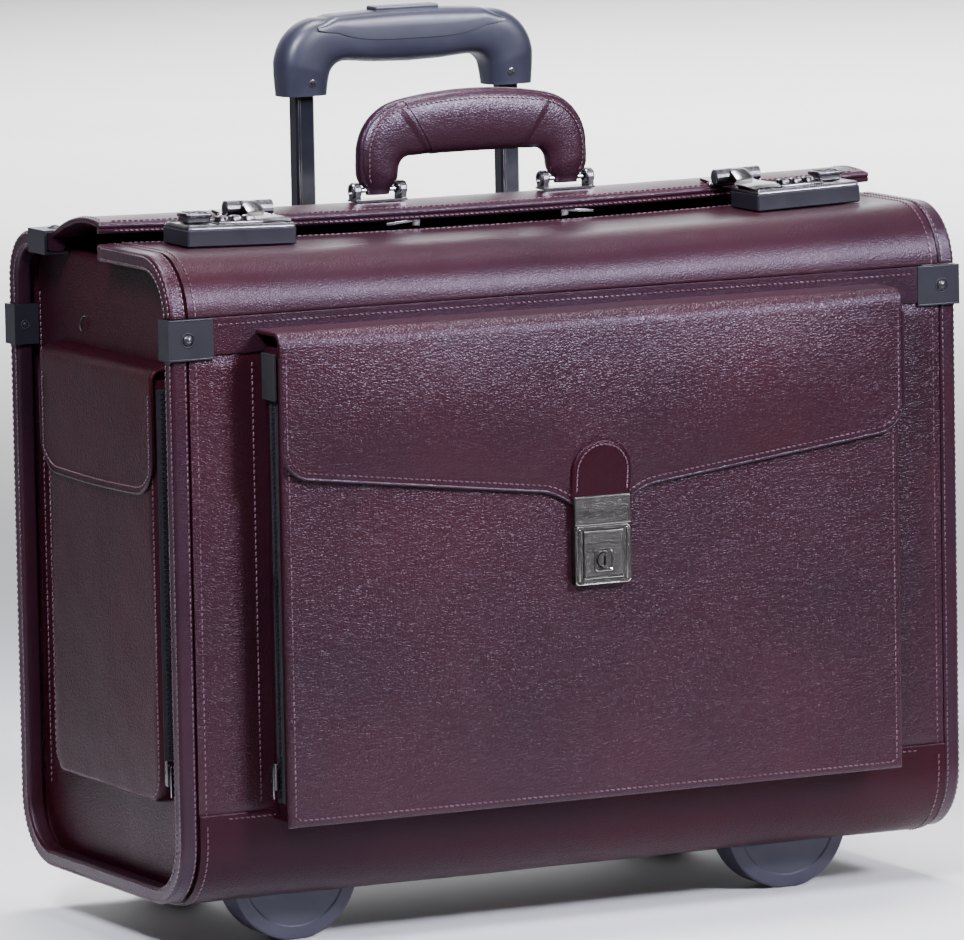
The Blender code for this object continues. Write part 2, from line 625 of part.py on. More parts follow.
def make_pocket_zips():
    low = 92 * MM
    for side, sign in SIDES:
        xs = (sign * (POCKET_HALF_LENGTH + GAP), sign * (POCKET_HALF_LENGTH + 2.4 * MM))
        make_zip_slider(f"{side}_zip_slider", xs, (-121 * MM, -115 * MM), (low, low + 14 * MM))
        end_xs = (sign * 225 * MM, sign * 231 * MM)
        end_ys = (END_POCKET_FRONT_Y - 2.7 * MM, END_POCKET_FRONT_Y - GAP)
        make_zip_slider(f"{side}_end_zip_slider", end_xs, end_ys, (low, low + 14 * MM))


def make_end_pocket(side, sign):
    near = sign * (END_FACE_X + GAP)
    far = sign * END_POCKET_X
    ys = (END_POCKET_FRONT_Y, END_POCKET_REAR_Y)
    pocket = box(f"{side}_end_pocket", (near, far), ys, (END_POCKET_BOTTOM_Z, END_POCKET_TOP_Z), LEATHER)
    wall = 2 * MM
    room_xs = (sign * (END_FACE_X - 5 * MM), sign * (END_POCKET_X - wall))
    room_ys = (ys[0] + wall, ys[1] - wall)
    room_zs = (END_POCKET_BOTTOM_Z + wall, END_POCKET_TOP_Z + 5 * MM)
    cut(pocket, box(f"{side}_end_room_tool", room_xs, room_ys, room_zs))
    hinge_x = sign * (END_FACE_X + 0.6 * MM)
    pivot = make_pivot(f"{side}_end_flap_hinge", (hinge_x, 0.0, END_FLAP_HINGE_Z), CASE)
    offset = (-hinge_x, 0.0, -END_FLAP_HINGE_Z)
    outer = sign * (HALF_LENGTH + 0.2 * MM)
    inner = sign * (END_POCKET_X + 0.5 * MM)
    front = END_POCKET_FRONT_Y - 1 * MM
    rear = END_POCKET_REAR_Y + 2 * MM
    corner = 18 * MM
    outline = [(front, END_FLAP_HINGE_Z - 5 * MM), (rear, END_FLAP_HINGE_Z - 5 * MM)]
    outline += arc((rear - corner, END_FLAP_LOW_Z + corner), corner, 0, -90, 5)
    outline += arc((front + corner, END_FLAP_LOW_Z + corner), corner, 270, 180, 5)
    flap = prism(f"{side}_end_flap", outline, "X", min(inner, outer), max(inner, outer), LEATHER, pivot, offset)
    slope = [(hinge_x, END_FLAP_HINGE_Z), (outer, END_FLAP_HINGE_Z - 4 * MM)]
    slope += [(outer, END_FLAP_HINGE_Z - 7 * MM), (hinge_x, END_FLAP_HINGE_Z - 2.5 * MM)]
    join(flap, prism(f"{side}_end_flap_top_tool", slope, "Y", front, rear, None, pivot, offset))


# ---------------------------------------------------------------- trolley

def tube(name, sign, size, low, high, look, parent=CASE, open_top=False):
    half_x = size[0] / 2
    half_y = size[1] / 2
    at = sign * TUBE_X
    ys = (TUBE_Y - half_y, TUBE_Y + half_y)
    piece = box(name, (at - half_x, at + half_x), ys, (low, high), look, parent)
    bevel(piece, 1 * MM)
    bore_x = half_x - TUBE_WALL
    bore_ys = (ys[0] + TUBE_WALL, ys[1] - TUBE_WALL)
    top = high + 5 * MM if open_top else high - 3 * MM
    bore = box(f"{name}_bore_tool", (at - bore_x, at + bore_x), bore_ys, (low - 5 * MM, top), None, parent)
    cut(piece, bore)
    return piece


def make_trolley_housing():
    half = 80.3 * MM
    thick = 11.5 * MM
    rear = HALF_DEPTH - 3 * MM
    front = 82.2 * MM
    outline = [(front, BEZEL_TOP_Z - thick), (front, BEZEL_TOP_Z), (rear - 6 * MM, BEZEL_TOP_Z)]
    outline += [(rear, BEZEL_TOP_Z - 7 * MM), (rear, BEZEL_TOP_Z - thick)]
    housing = prism("trolley_housing", outline, "X", -half, half, BLACK_PLASTIC)
    low = 61.5 * MM
    for side, sign in SIDES:
        at = sign * TUBE_X
        ys = (TUBE_Y - OUTER_TUBE[1] / 2, TUBE_Y + OUTER_TUBE[1] / 2)
        xs = (at - OUTER_TUBE[0] / 2, at + OUTER_TUBE[0] / 2)
        join(housing, box(f"{side}_outer_tube_tool", xs, ys, (low, BEZEL_TOP_Z - 1 * MM)))
        bore_xs = (xs[0] + TUBE_WALL, xs[1] - TUBE_WALL)
        bore_ys = (ys[0] + TUBE_WALL, ys[1] - TUBE_WALL)
        cut(housing, box(f"{side}_outer_bore_tool", bore_xs, bore_ys, (low + 2 * MM, 400 * MM)))


def make_trolley_tubes():
    for side, sign in SIDES:
        tube(f"{side}_middle_tube", sign, MIDDLE_TUBE, 65 * MM, BEZEL_TOP_Z - 1.5 * MM, BLACK_TUBE, CASE, True)
        tube(f"{side}_inner_tube", sign, INNER_TUBE, 127 * MM, GRIP_BOTTOM_Z + 12 * MM, BLACK_TUBE, CASE)


def make_trolley_grip():
    corner = 26 * MM
    half = GRIP_HALF_LENGTH
    inner_corner = 6 * MM
    leg = GRIP_LEG_INNER_X
    outline_half = [(0.0, GRIP_TOP_Z), (40 * MM, GRIP_TOP_Z - 1.5 * MM)]
    outline_half += arc((half - corner, GRIP_TOP_Z - 4 * MM - corner), corner, 80, 0, 6)
    outline_half += [(half - 1 * MM, GRIP_BOTTOM_Z), (leg + 1 * MM, GRIP_BOTTOM_Z)]
    outline_half += arc((leg - inner_corner, GRIP_BAR_Z - inner_corner), inner_corner, 0, 90, 3)
    outline_half.append((0.0, GRIP_BAR_Z))
    outline = outline_half + [(-u, v) for u, v in reversed(outline_half[1:-1])]
    ys = (TUBE_Y - 12.5 * MM, TUBE_Y + 12.5 * MM)
    grip = prism("trolley_grip", outline, "Y", *ys, GRIP_PLASTIC)
    bevel(grip, 5 * MM, 3)
    for side, sign in SIDES:
        at = sign * TUBE_X
        socket_x = INNER_TUBE[0] / 2 + GAP
        socket_y = INNER_TUBE[1] / 2 + GAP
        xs = (at - socket_x, at + socket_x)
        socket_ys = (TUBE_Y - socket_y, TUBE_Y + socket_y)
        socket_top = GRIP_BOTTOM_Z + 12 * MM + GAP
        cut(grip, box(f"{side}_socket_tool", xs, socket_ys, (GRIP_BOTTOM_Z - 10 * MM, socket_top)))
        leg_xs = (sign * 30 * MM, sign * 90 * MM)
        for face, edge in ((-1, 10 * MM), (1, 10 * MM)):
            near = TUBE_Y + face * edge
            far = TUBE_Y + face * 20 * MM
            slim = box(f"{side}_slim_tool_{face}", leg_xs, (near, far), (420 * MM, GRIP_BOTTOM_Z + 8 * MM))
            cut(grip, slim)
    button_half = 19.5 * MM
    well_xs = (-button_half - GAP, button_half + GAP)
    well_ys = (TUBE_Y - 6.3 * MM, TUBE_Y + 6.3 * MM)
    cut(grip, box("button_well_tool", well_xs, well_ys, (GRIP_TOP_Z - 9 * MM, GRIP_TOP_Z + 10 * MM)))
    button_ys = (TUBE_Y - 6 * MM, TUBE_Y + 6 * MM)
    button_zs = (GRIP_TOP_Z - 5 * MM, GRIP_TOP_Z + 1.2 * MM)
    button = box("trolley_button", (-button_half, button_half), button_ys, button_zs, GRIP_PLASTIC)
    bevel(button, 1 * MM, 2)


# ---------------------------------------------------------------- wheels and feet

def make_wheel(side, sign):
    at = sign * WHEEL_X
    half = 16.2 * MM
    wall = 3 * MM
    housing_ys = (49.8 * MM, 106 * MM)
    housing_zs = (28 * MM, 72.2 * MM)
    housing = box(f"{side}_wheel_housing", (at - half, at + half), housing_ys, housing_zs, BLACK_PLASTIC)
    room_xs = (at - half + wall, at + half - wall)
    room_ys = (housing_ys[0] + 2.5 * MM, 130 * MM)
    room_zs = (0.0, housing_zs[1] - 2.5 * MM)
    cut(housing, box(f"{side}_wheel_room_tool", room_xs, room_ys, room_zs))
    hub = (at, WHEEL_Y, WHEEL_RADIUS)
    cut(housing, cylinder(f"{side}_axle_hole_tool", "X", hub, AXLE_RADIUS + GAP, 50 * MM, segments=16))
    cylinder(f"{side}_wheel_axle", "X", hub, AXLE_RADIUS, 2 * half - 0.8 * MM, STEEL, segments=16)
    pivot = make_pivot(f"{side}_wheel_axis", hub, CASE)
    centre = (0, 0, 0)
    wheel = cylinder(f"{side}_wheel", "X", centre, WHEEL_RADIUS, WHEEL_WIDTH, RUBBER, pivot, segments=40)
    bevel(wheel, 3 * MM, 2)
    for face in (-1, 1):
        dish_at = (face * WHEEL_WIDTH / 2, 0, 0)
        dish = cylinder(f"{side}_dish_tool_{face}", "X", dish_at, 22 * MM, 6 * MM, None, pivot, segments=32)
        boss = cylinder(f"{side}_boss_tool_{face}", "X", dish_at, 8 * MM, 12 * MM, None, pivot, segments=20)
        cut(dish, boss)
        cut(wheel, dish)
    cut(wheel, cylinder(f"{side}_wheel_bore_tool", "X", centre, AXLE_RADIUS + GAP, 60 * MM, None, pivot, segments=16))


def make_front_foot(side, sign):
    """Half-moon foot: a disc cut off flat under the case and flattened where it stands."""
    top = FLOOR_GAP - GAP
    start = math.degrees(math.asin((FOOT_CENTRE_Z - top) / FOOT_RADIUS))
    flat = math.degrees(math.acos(FOOT_CENTRE_Z / FOOT_RADIUS))
    centre = (sign * (WHEEL_X - 0.5 * MM), FOOT_CENTRE_Z)
    outline = arc(centre, FOOT_RADIUS, -start, -90 + flat, 10)
    outline += arc(centre, FOOT_RADIUS, -90 - flat, -180 + start, 10)
    ys = (FOOT_Y - FOOT_THICKNESS / 2, FOOT_Y + FOOT_THICKNESS / 2)
    prism(f"{side}_front_foot", outline, "Y", *ys, RUBBER)


make_case_shell()
make_bindings()
make_divider()
make_caps()
make_front_lid()
make_rear_flap()
make_handle_brackets()
make_carry_handle()
make_front_pocket()
make_pocket_flap()
make_pocket_lock()
make_pocket_zips()
make_trolley_housing()
make_trolley_tubes()
make_trolley_grip()
for SIDE, SIGN in SIDES:
    make_lock(SIDE, SIGN)
    make_hasp(SIDE, SIGN)
    make_end_pocket(SIDE, SIGN)
    make_wheel(SIDE, SIGN)
    make_front_foot(SIDE, SIGN)
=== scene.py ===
"""Looks for the pilot's rolling flight case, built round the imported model.

Lengths inside the helpers are millimetres in the case frame, whose Y origin is the middle of the case body;
place() turns them into metres in the row frame.
"""

import math

import bmesh
import bpy
from mathutils import Matrix, Vector, noise


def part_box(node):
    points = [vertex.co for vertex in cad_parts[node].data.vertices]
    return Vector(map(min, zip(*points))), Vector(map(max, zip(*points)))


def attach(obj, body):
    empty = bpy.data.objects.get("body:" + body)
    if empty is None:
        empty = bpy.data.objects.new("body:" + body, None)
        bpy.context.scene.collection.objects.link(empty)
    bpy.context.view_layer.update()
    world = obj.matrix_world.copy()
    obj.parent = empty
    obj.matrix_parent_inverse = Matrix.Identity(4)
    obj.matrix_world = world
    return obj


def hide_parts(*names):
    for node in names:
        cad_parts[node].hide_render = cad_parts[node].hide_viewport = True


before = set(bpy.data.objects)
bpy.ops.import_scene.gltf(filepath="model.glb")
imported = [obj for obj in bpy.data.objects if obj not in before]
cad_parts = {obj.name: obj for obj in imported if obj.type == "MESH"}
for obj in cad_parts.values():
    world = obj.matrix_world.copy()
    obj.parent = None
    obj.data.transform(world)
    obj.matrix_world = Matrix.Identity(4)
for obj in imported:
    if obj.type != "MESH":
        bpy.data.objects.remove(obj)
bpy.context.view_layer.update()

MM = 0.001
BINDING_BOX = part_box("left_binding")
SHIFT = (BINDING_BOX[0].y + BINDING_BOX[1].y) / 2
SIDES = (("left", -1), ("right", 1))

HALF_DEPTH = 105.0
FLOOR = 28.0
TOP = 375.0
BOTTOM_R = 37.0
REAR_R = 28.0
FRONT_R = 34.0
WALL_HALF = 224.6
END_X = 222.0
LID_SEAM_Z = 343.0
FLAP_HINGE_Y = 50.0
FLAP_FRONT_Y = -12.0
FLAP_Z = 376.0
FLAP_SIDE = 233.0
LID_REAR_Y = -13.5
HANDLE_Y = 11.0
TROLLEY_Y = 93.0
POCKET_FLAP_HALF = 186.0
LOCK_FACE_Y = -138.0
DIALS_U = -1.4
STITCH_PITCH = 3.3
STITCH_LENGTH = 2.5
STITCH_RADIUS = 0.46
ROUND_EDGE = (0.0, 0.25, 0.7, 1.4, 2.4)
PLAIN_EDGE = (0.0, 1.0)
BOX_FACES = ((0, 1, 2, 3), (4, 5, 6, 7), (0, 1, 5, 4), (1, 2, 6, 5), (2, 3, 7, 6), (3, 0, 4, 7))
TO_FRONT = Vector((0, -1, 0))
TO_BACK = Vector((0, 1, 0))
UP = Vector((0, 0, 1))


def place(x, y, z):
    return Vector((x * MM, y * MM + SHIFT, z * MM))


# ---------------------------------------------------------------- materials

class Recipe:
    """A node tree being filled: node() adds one node, and sets or links each of its inputs."""

    def __init__(self, owner):
        owner.use_nodes = True
        self.tree = owner.node_tree

    def feed(self, socket, value):
        if isinstance(value, bpy.types.NodeSocket):
            self.tree.links.new(value, socket)
        else:
            socket.default_value = value

    def node(self, kind, out, inputs, **settings):
        node = self.tree.nodes.new(f"ShaderNode{kind}")
        for key, value in settings.items():
            setattr(node, key, value)
        for key, value in inputs.items():
            self.feed(node.inputs[key], value)
        return node.outputs[out]

    def shader(self, inputs, name="Principled BSDF"):
        for key, value in inputs.items():
            self.feed(self.tree.nodes[name].inputs[key], value)

    def coordinates(self, scale=(1, 1, 1)):
        return self.node("Mapping", "Vector", {"Vector": self.node("TexCoord", "Object", {}), "Scale": scale})

    def noise(self, vector, scale, detail=3.0, roughness=0.5, out="Fac"):
        inputs = {"Vector": vector, "Scale": scale, "Detail": detail, "Roughness": roughness}
        return self.node("TexNoise", out, inputs)

    def ramp(self, value, *stops):
        colour = self.node("ValToRGB", "Color", {"Fac": value})
        elements = colour.node.color_ramp.elements
        while len(elements) < len(stops):
            elements.new(0.5)
        for element, (position, shade) in zip(elements, stops):
            element.position = position
            element.color = (*shade, 1.0)
        return colour

    def add(self, first, second, share=1.0):
        scaled = self.node("Math", "Value", {0: second, 1: share}, operation="MULTIPLY")
        return self.node("Math", "Value", {0: first, 1: scaled}, operation="ADD")

    def bump(self, height, strength, distance):
        return self.node("Bump", "Normal", {"Strength": strength, "Distance": distance, "Height": height})

    def spread(self, value, low, high):
        return self.node("MapRange", "Result", {"To Min": low, "To Max": high, "Value": value})


def leather(name, dark, mid, red, grain=1.0, cells=400.0, stretch=(1, 1, 1), rough=(0.28, 0.42), gloss=0.36):
    """Pebbled leather: warped cells with creases between them, fine pores and broad tints."""
    material = bpy.data.materials.new(name)
    recipe = Recipe(material)
    vector = recipe.coordinates(stretch)
    tint = recipe.noise(vector, 7.0, 3.0, 0.55)
    warp = recipe.noise(vector, 260.0, 2.0, out="Color")
    shifted = recipe.node("MixRGB", "Color", {"Fac": 0.0035, "Color1": vector, "Color2": warp}, blend_type="ADD")
    cell = recipe.node("TexVoronoi", "Distance", {"Scale": cells, "Vector": shifted}, feature="DISTANCE_TO_EDGE")
    pebble = recipe.node("MapRange", "Result", {"From Max": 0.28, "Value": cell}, interpolation_type="SMOOTHSTEP")
    height = recipe.add(pebble, recipe.noise(vector, 1500.0, 2.0), 0.35)
    height = recipe.add(height, recipe.noise(vector, 120.0, 3.0, 0.6))
    recipe.shader({
        "Base Color": recipe.ramp(tint, (0.28, dark), (0.52, mid), (0.82, red)),
        "Normal": recipe.bump(height, 0.42 * grain, 0.00055),
        "Roughness": recipe.spread(recipe.noise(vector, 35.0, 4.0, 0.6), *rough),
        "Specular IOR Level": gloss,
        "Specular Tint": (0.90, 0.80, 1.0, 1.0),
    })
    return material


def plastic(name, colour, light, rough=(0.38, 0.52), grain=0.12):
    material = bpy.data.materials.new(name)
    recipe = Recipe(material)
    vector = recipe.coordinates()
    recipe.shader({
        "Base Color": recipe.ramp(recipe.noise(vector, 40.0, 4.0), (0.35, colour), (0.75, light)),
        "Normal": recipe.bump(recipe.noise(vector, 2200.0, 2.0), grain, 0.0002),
        "Roughness": recipe.spread(recipe.noise(vector, 90.0, 4.0, 0.65), *rough),
    })
    return material


def metal(name, colour, light, rough=(0.12, 0.26), brushed=(1, 1, 1), strength=0.05):
    """Plated metal with faint scratches; brushed gives the stretch of its grain along each axis."""
    material = bpy.data.materials.new(name)
    recipe = Recipe(material)
    vector = recipe.coordinates(brushed)
    scratch = recipe.noise(vector, 900.0, 4.0, 0.7)
    recipe.shader({
        "Metallic": 1.0,
        "Base Color": recipe.ramp(recipe.noise(vector, 60.0, 4.0), (0.3, colour), (0.75, light)),
        "Normal": recipe.bump(scratch, strength * 4, 0.0002),
        "Roughness": recipe.spread(scratch, *rough),
    })
    return material


def fabric(name, colour, light, weave=1400.0):
    material = bpy.data.materials.new(name)
    recipe = Recipe(material)
    vector = recipe.coordinates()
    inputs = {"Scale": weave, "Distortion": 2.0, "Vector": vector}
    warp = recipe.node("TexWave", "Fac", inputs, bands_direction="DIAGONAL")
    tint = recipe.noise(vector, 300.0, 4.0)
    recipe.shader({
        "Base Color": recipe.ramp(tint, (0.3, colour), (0.7, light)),
        "Normal": recipe.bump(warp, 0.4, 0.0003),
        "Roughness": recipe.spread(tint, 0.7, 0.95),
    })
    return material


PLUM = (0.0125, 0.0022, 0.0052)
PLUM_MID = (0.0200, 0.0030, 0.0064)
PLUM_RED = (0.0290, 0.0036, 0.0062)
FRONT = leather("leather_front", PLUM, PLUM_MID, PLUM_RED, 0.72, 520.0, (1.0, 1.0, 1.2), (0.31, 0.45))
SMOOTH = leather("leather_smooth", (0.0125, 0.0023, 0.0050), PLUM_MID, (0.030, 0.0038, 0.0060), 0.5, 560.0, gloss=0.15)
# Leather for the lid and top: finer grain and less gloss than the front, and a lighter, more mauve base colour that
# paints the sheen the top catches.
TOPSIDE_PAINTED_SHEEN = leather(
    "leather_top_painted_sheen", (0.015, 0.0042, 0.0078), (0.021, 0.0056, 0.0098), (0.028, 0.0066, 0.0098), 0.32, 640.0, gloss=0.18,
)
GRIP_HIDE = leather("leather_handle", (0.0140, 0.0034, 0.0070), (0.020, 0.0044, 0.0090), PLUM_RED, 0.42, 640.0, gloss=0.5)
EDGE = leather(
    "leather_edge", (0.0130, 0.0042, 0.0085), (0.019, 0.0055, 0.0110), PLUM_RED, 0.5, 700.0, rough=(0.26, 0.4), gloss=0.34,
)
THREAD = plastic("thread", (0.045, 0.016, 0.026), (0.15, 0.085, 0.115), (0.3, 0.45), 0.3)
CAP_PLASTIC = plastic("cap_plastic", (0.0075, 0.0070, 0.0115), (0.012, 0.0115, 0.018), (0.34, 0.48), 0.3)
GRIP_PLASTIC = plastic("grip_plastic", (0.016, 0.0165, 0.028), (0.024, 0.025, 0.040), (0.34, 0.46), 0.15)
FOOT_PLASTIC = plastic("foot_plastic", (0.030, 0.029, 0.047), (0.042, 0.041, 0.065), (0.42, 0.58), 0.25)
TYRE_RUBBER = plastic("tyre_rubber", (0.006, 0.006, 0.009), (0.012, 0.012, 0.016), (0.6, 0.8), 0.5)
# Near-black for printed marks, zip teeth and small dark parts; also painted shade in the trolley grip's screw wells
# and screw slots.
INK_AND_PAINTED_SHADE = plastic("dark_ink_and_painted_shade", (0.006, 0.006, 0.009), (0.014, 0.014, 0.02), (0.5, 0.7), 0.1)
TUBE_BLACK = plastic("tube_black", (0.004, 0.0042, 0.008), (0.007, 0.0074, 0.013), (0.2, 0.3), 0.05)
ZIP_TAPE = fabric("zip_tape", (0.004, 0.004, 0.006), (0.011, 0.011, 0.014))
LINING = fabric("lining_cloth", (0.012, 0.012, 0.016), (0.026, 0.026, 0.03))
CHROME = metal("chrome_plate", (0.15, 0.14, 0.15), (0.36, 0.35, 0.365), (0.16, 0.34))
LOCK_STEEL = metal("lock_steel", (0.07, 0.062, 0.072), (0.20, 0.185, 0.205), (0.2, 0.36), (6, 1, 1), 0.1)
NICKEL = metal("black_nickel", (0.055, 0.053, 0.049), (0.105, 0.10, 0.092), (0.24, 0.42), (0.12, 1, 4), 0.25)
# Bright plated metal for the lock borders and rails; also the painted highlight strips laid along the trolley tubes.
BRIGHT_METAL_AND_PAINTED_HIGHLIGHT = metal("bright_edge_and_painted_highlight", (0.36, 0.35, 0.32), (0.50, 0.48, 0.44), (0.14, 0.24))


def finish_nodes(material, *names):
    """Gives CAD nodes that stay in view their material."""
    for name in names:
        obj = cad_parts[name]
        for slot_ in obj.material_slots:
            slot_.material = material
        if not obj.material_slots:
            obj.data.materials.append(material)


# ---------------------------------------------------------------- mesh helpers

def build(name, verts, faces, material, body, replaced=(), slot="leather", smooth=True, angle=40):
    mesh = bpy.data.meshes.new(name)
    mesh.from_pydata([tuple(v) for v in verts], [], faces)
    bm = bmesh.new()
    bm.from_mesh(mesh)
    bmesh.ops.remove_doubles(bm, verts=bm.verts, dist=1e-7)
    bmesh.ops.recalc_face_normals(bm, faces=bm.faces)
    bm.to_mesh(mesh)
    bm.free()
    obj = bpy.data.objects.new(name, mesh)
    bpy.context.scene.collection.objects.link(obj)
    mesh.materials.append(material)
    if smooth:
        mesh.shade_smooth()
        mesh.set_sharp_from_angle(angle=math.radians(angle))
    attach(obj, body)
    if replaced:
        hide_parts(*replaced)
    return obj


def slab(name, outer, inner, material, body, replaced=(), slot="leather", angle=40):
    """A closed sheet between two grids of points with the same rows and columns."""
    rows = len(outer)
    columns = len(outer[0])
    verts = [p for row in outer + inner for p in row]
    back = rows * columns
    faces = []
    for i in range(rows - 1):
        for a in range(i * columns, (i + 1) * columns - 1):
            quad = (a, a + 1, a + columns + 1, a + columns)
            faces += [quad, tuple(p + back for p in reversed(quad))]
    rim = list(range(columns))
    rim += [i * columns + columns - 1 for i in range(1, rows)]
    rim += [(rows - 1) * columns + j for j in range(columns - 2, -1, -1)]
    rim += [i * columns for i in range(rows - 2, 0, -1)]
    faces += [(a, b, b + back, a + back) for a, b in zip(rim, rim[1:] + rim[:1])]
    return build(name, verts, faces, material, body, replaced, slot, True, angle)


def sheet(name, rows, columns, pair, material, body, replaced=(), slot="leather", angle=40):
    """A slab whose outer and inner points come from pair(row, column)."""
    grid = [[pair(row, column) for column in columns] for row in rows]
    layers = [[[both[k] for both in row] for row in grid] for k in (0, 1)]
    return slab(name, *layers, material, body, replaced, slot, angle)


def loft(name, rings, material, body, replaced=(), slot="leather", closed_path=False, angle=40):
    """Closed rings of equal length joined in order, with a cap at each end unless the path is closed."""
    count = len(rings[0])
    verts = [p for ring in rings for p in ring]
    faces = []
    for i in range(len(rings) if closed_path else len(rings) - 1):
        near = i * count
        far = ((i + 1) % len(rings)) * count
        faces += [(near + j, near + k, far + k, far + j) for j, k in ring_pairs(count)]
    if not closed_path:
        faces += [tuple(range(count)), tuple(range(len(verts) - count, len(verts)))]
    return build(name, verts, faces, material, body, replaced, slot, True, angle)


def ring_pairs(count):
    return [(j, (j + 1) % count) for j in range(count)]


def circle(count):
    return [(math.cos(a), math.sin(a)) for a in (2 * math.pi * k / count for k in range(count))]


def arc_points(cx, cz, radius, start, stop, steps=14):
    angles = [math.radians(start + (stop - start) * i / steps) for i in range(steps + 1)]
    return [(cx + radius * math.cos(a), cz + radius * math.sin(a)) for a in angles]


def squared(value, power):
    """A cosine or sine bent towards a squarer section."""
    return math.copysign(abs(value) ** power, value)


def mix(a, b, share):
    return tuple(p + (q - p) * share for p, q in zip(a, b))


def towards(a, b, distance):
    return mix(a, b, distance / math.dist(a, b))


def clamp(value, low=0.0, high=1.0):
    return max(low, min(high, value))


def corner_drop(radius, along):
    """How far a round corner has fallen back at a distance along it."""
    return radius - math.sqrt(max(0.0, radius * radius - along * along))


def measure(points):
    """Distance of each point along its line."""
    lengths = [0.0]
    for a, b in zip(points, points[1:]):
        lengths.append(lengths[-1] + math.dist(a, b))
    return lengths


def locate(lengths, marks):
    """The stretch each rising mark falls in, and its share of that stretch."""
    index = 0
    for mark in marks:
        while index < len(lengths) - 2 and lengths[index + 1] < mark:
            index += 1
        yield index, (mark - lengths[index]) / max(1e-6, lengths[index + 1] - lengths[index])


def stations(low, high, step, edge=ROUND_EDGE):
    """Positions from low to high, closer together at both ends where an edge is rounded."""
    inner = max(2, round((high - low - 2 * edge[-1]) / step))
    middle = [low + edge[-1] + (high - low - 2 * edge[-1]) * i / inner for i in range(inner + 1)]
    return [low + e for e in edge[:-1]] + middle + [high - e for e in reversed(edge[:-1])]


def rolled(distance, radius):
    """How far a rounded edge falls back at a distance from the edge."""
    if distance >= radius:
        return 0.0
    rest = 1 - distance / radius
    return radius * (1 - math.sqrt(max(0.0, 1 - rest * rest)))


def waviness(p, amount, size=0.05):
    return amount * noise.noise(Vector(p) / size) + 0.35 * amount * noise.noise(Vector(p) / (size * 0.3))


def trace(parts, step=3.0):
    """(y, z, ny, nz) along lines and arcs. Each part is ("line", y, z, y, z, ny, nz) or
    ("arc", centre y, centre z, radius, start angle, stop angle)."""
    out = []
    for kind, *part in parts:
        if kind == "line":
            y0, z0, y1, z1, ny, nz = part
            count = max(1, round(math.hypot(y1 - y0, z1 - z0) / step))
            found = [(*mix((y0, z0), (y1, z1), i / count), ny, nz) for i in range(count + 1)]
        else:
            cy, cz, radius, start, stop = part
            count = max(4, round(radius * math.radians(abs(stop - start)) / step))
            unit = arc_points(0, 0, 1, start, stop, count)
            found = [(cy + radius * c, cz + radius * s, c, s) for c, s in unit]
        if out and math.dist(out[-1][:2], found[0][:2]) < 0.05:
            found = found[1:]
        out += found
    return out


def stitches(name, points, normals, body, pitch=STITCH_PITCH, lift=0.12):
    """Sewn thread: one small spindle per stitch along a line of points, with one normal or one per point."""
    lengths = [length / MM for length in measure(points)]
    count = max(1, int(lengths[-1] / pitch))
    marks = [(number + 0.5) * lengths[-1] / count for number in range(count)]
    verts = []
    faces = []
    for index, share in locate(lengths, marks):
        centre = points[index].lerp(points[index + 1], share)
        along = (points[index + 1] - points[index]).normalized()
        up = (normals if isinstance(normals, Vector) else normals[index]).normalized()
        aside = along.cross(up).normalized()
        along = (along + aside * 0.10).normalized()
        start = len(verts)
        for offset, size in ((-0.5, 0.25), (-0.3, 0.9), (0.0, 1.0), (0.3, 0.9), (0.5, 0.25)):
            sink = 0.0 if abs(offset) < 0.45 else -0.3
            middle = centre + along * (offset * STITCH_LENGTH * MM) + up * ((lift + sink) * MM)
            radius = size * STITCH_RADIUS * MM
            verts += [middle + (aside * c + up * s * 0.8) * radius for c, s in circle(6)]
        for a in range(start, start + 24, 6):
            faces += [(a + j, a + k, a + k + 6, a + j + 6) for j, k in ring_pairs(6)]
        faces += [tuple(range(start, start + 6)), tuple(range(start + 24, start + 30))]
    return build(name, verts, faces, THREAD, body)


def bead(name, points, radius, body):
    """A thin rounded edge laid along a line of points."""
    rings = []
    for i, point in enumerate(points):
        along = (points[min(i + 1, len(points) - 1)] - points[max(i - 1, 0)]).normalized()
        side = along.orthogonal().normalized() if i == 0 else (side - along * side.dot(along)).normalized()
        other = along.cross(side)
        rings.append([point + (side * c + other * s) * (radius * MM) for c, s in circle(8)])
    return loft(name, rings, EDGE, body)


def dome(name, centre, axis, radius, height, material, body, slot, ring=None):
    """A round rivet head on a shallow washer."""
    axis = Vector(axis).normalized()
    side = axis.orthogonal().normalized()
    other = axis.cross(side)
    profile = [(1.0, -0.3), (1.0, 0.0)]
    profile += [(math.cos(math.radians(a)), math.sin(math.radians(a))) for a in (15, 30, 45, 60, 75, 84)]
    rings = []
    for out, up in profile:
        middle = centre + axis * (up * height * MM)
        rings.append([middle + (side * c + other * s) * (out * radius * MM) for c, s in circle(24)])
    head = loft(name, rings, material, body, (), slot)
    if ring:
        rim = []
        for c, s in circle(28):
            flat = side * c + other * s
            section = [flat * ((ring + 0.35 * k) * MM) + axis * (0.35 * m * MM) for k, m in circle(8)]
            rim.append([centre + p for p in section])
        loft(f"{name}_ring", rim, INK_AND_PAINTED_SHADE, body, (), slot, True)
    return head


def rounded_box(name, low, high, radius, material, body, slot, turn=None):
    """A block with rounded edges, from its corners in case millimetres; turn places it instead when given."""
    bm = bmesh.new()
    low = Vector(low)
    high = Vector(high)
    bmesh.ops.create_cube(bm, size=1.0, matrix=Matrix.Diagonal((*((high - low) * MM), 1.0)))
    bmesh.ops.bevel(bm, geom=bm.edges, offset=radius * MM, segments=3, profile=0.5, affect="EDGES")
    middle = (low + high) / 2
    matrix = turn @ Matrix.Translation(middle * MM) if turn else Matrix.Translation(place(*middle))
    bmesh.ops.transform(bm, matrix=matrix, verts=bm.verts)
    verts = [v.co.copy() for v in bm.verts]
    faces = [tuple(v.index for v in f.verts) for f in bm.faces]
    bm.free()
    return build(name, verts, faces, material, body, (), slot, True, 30)


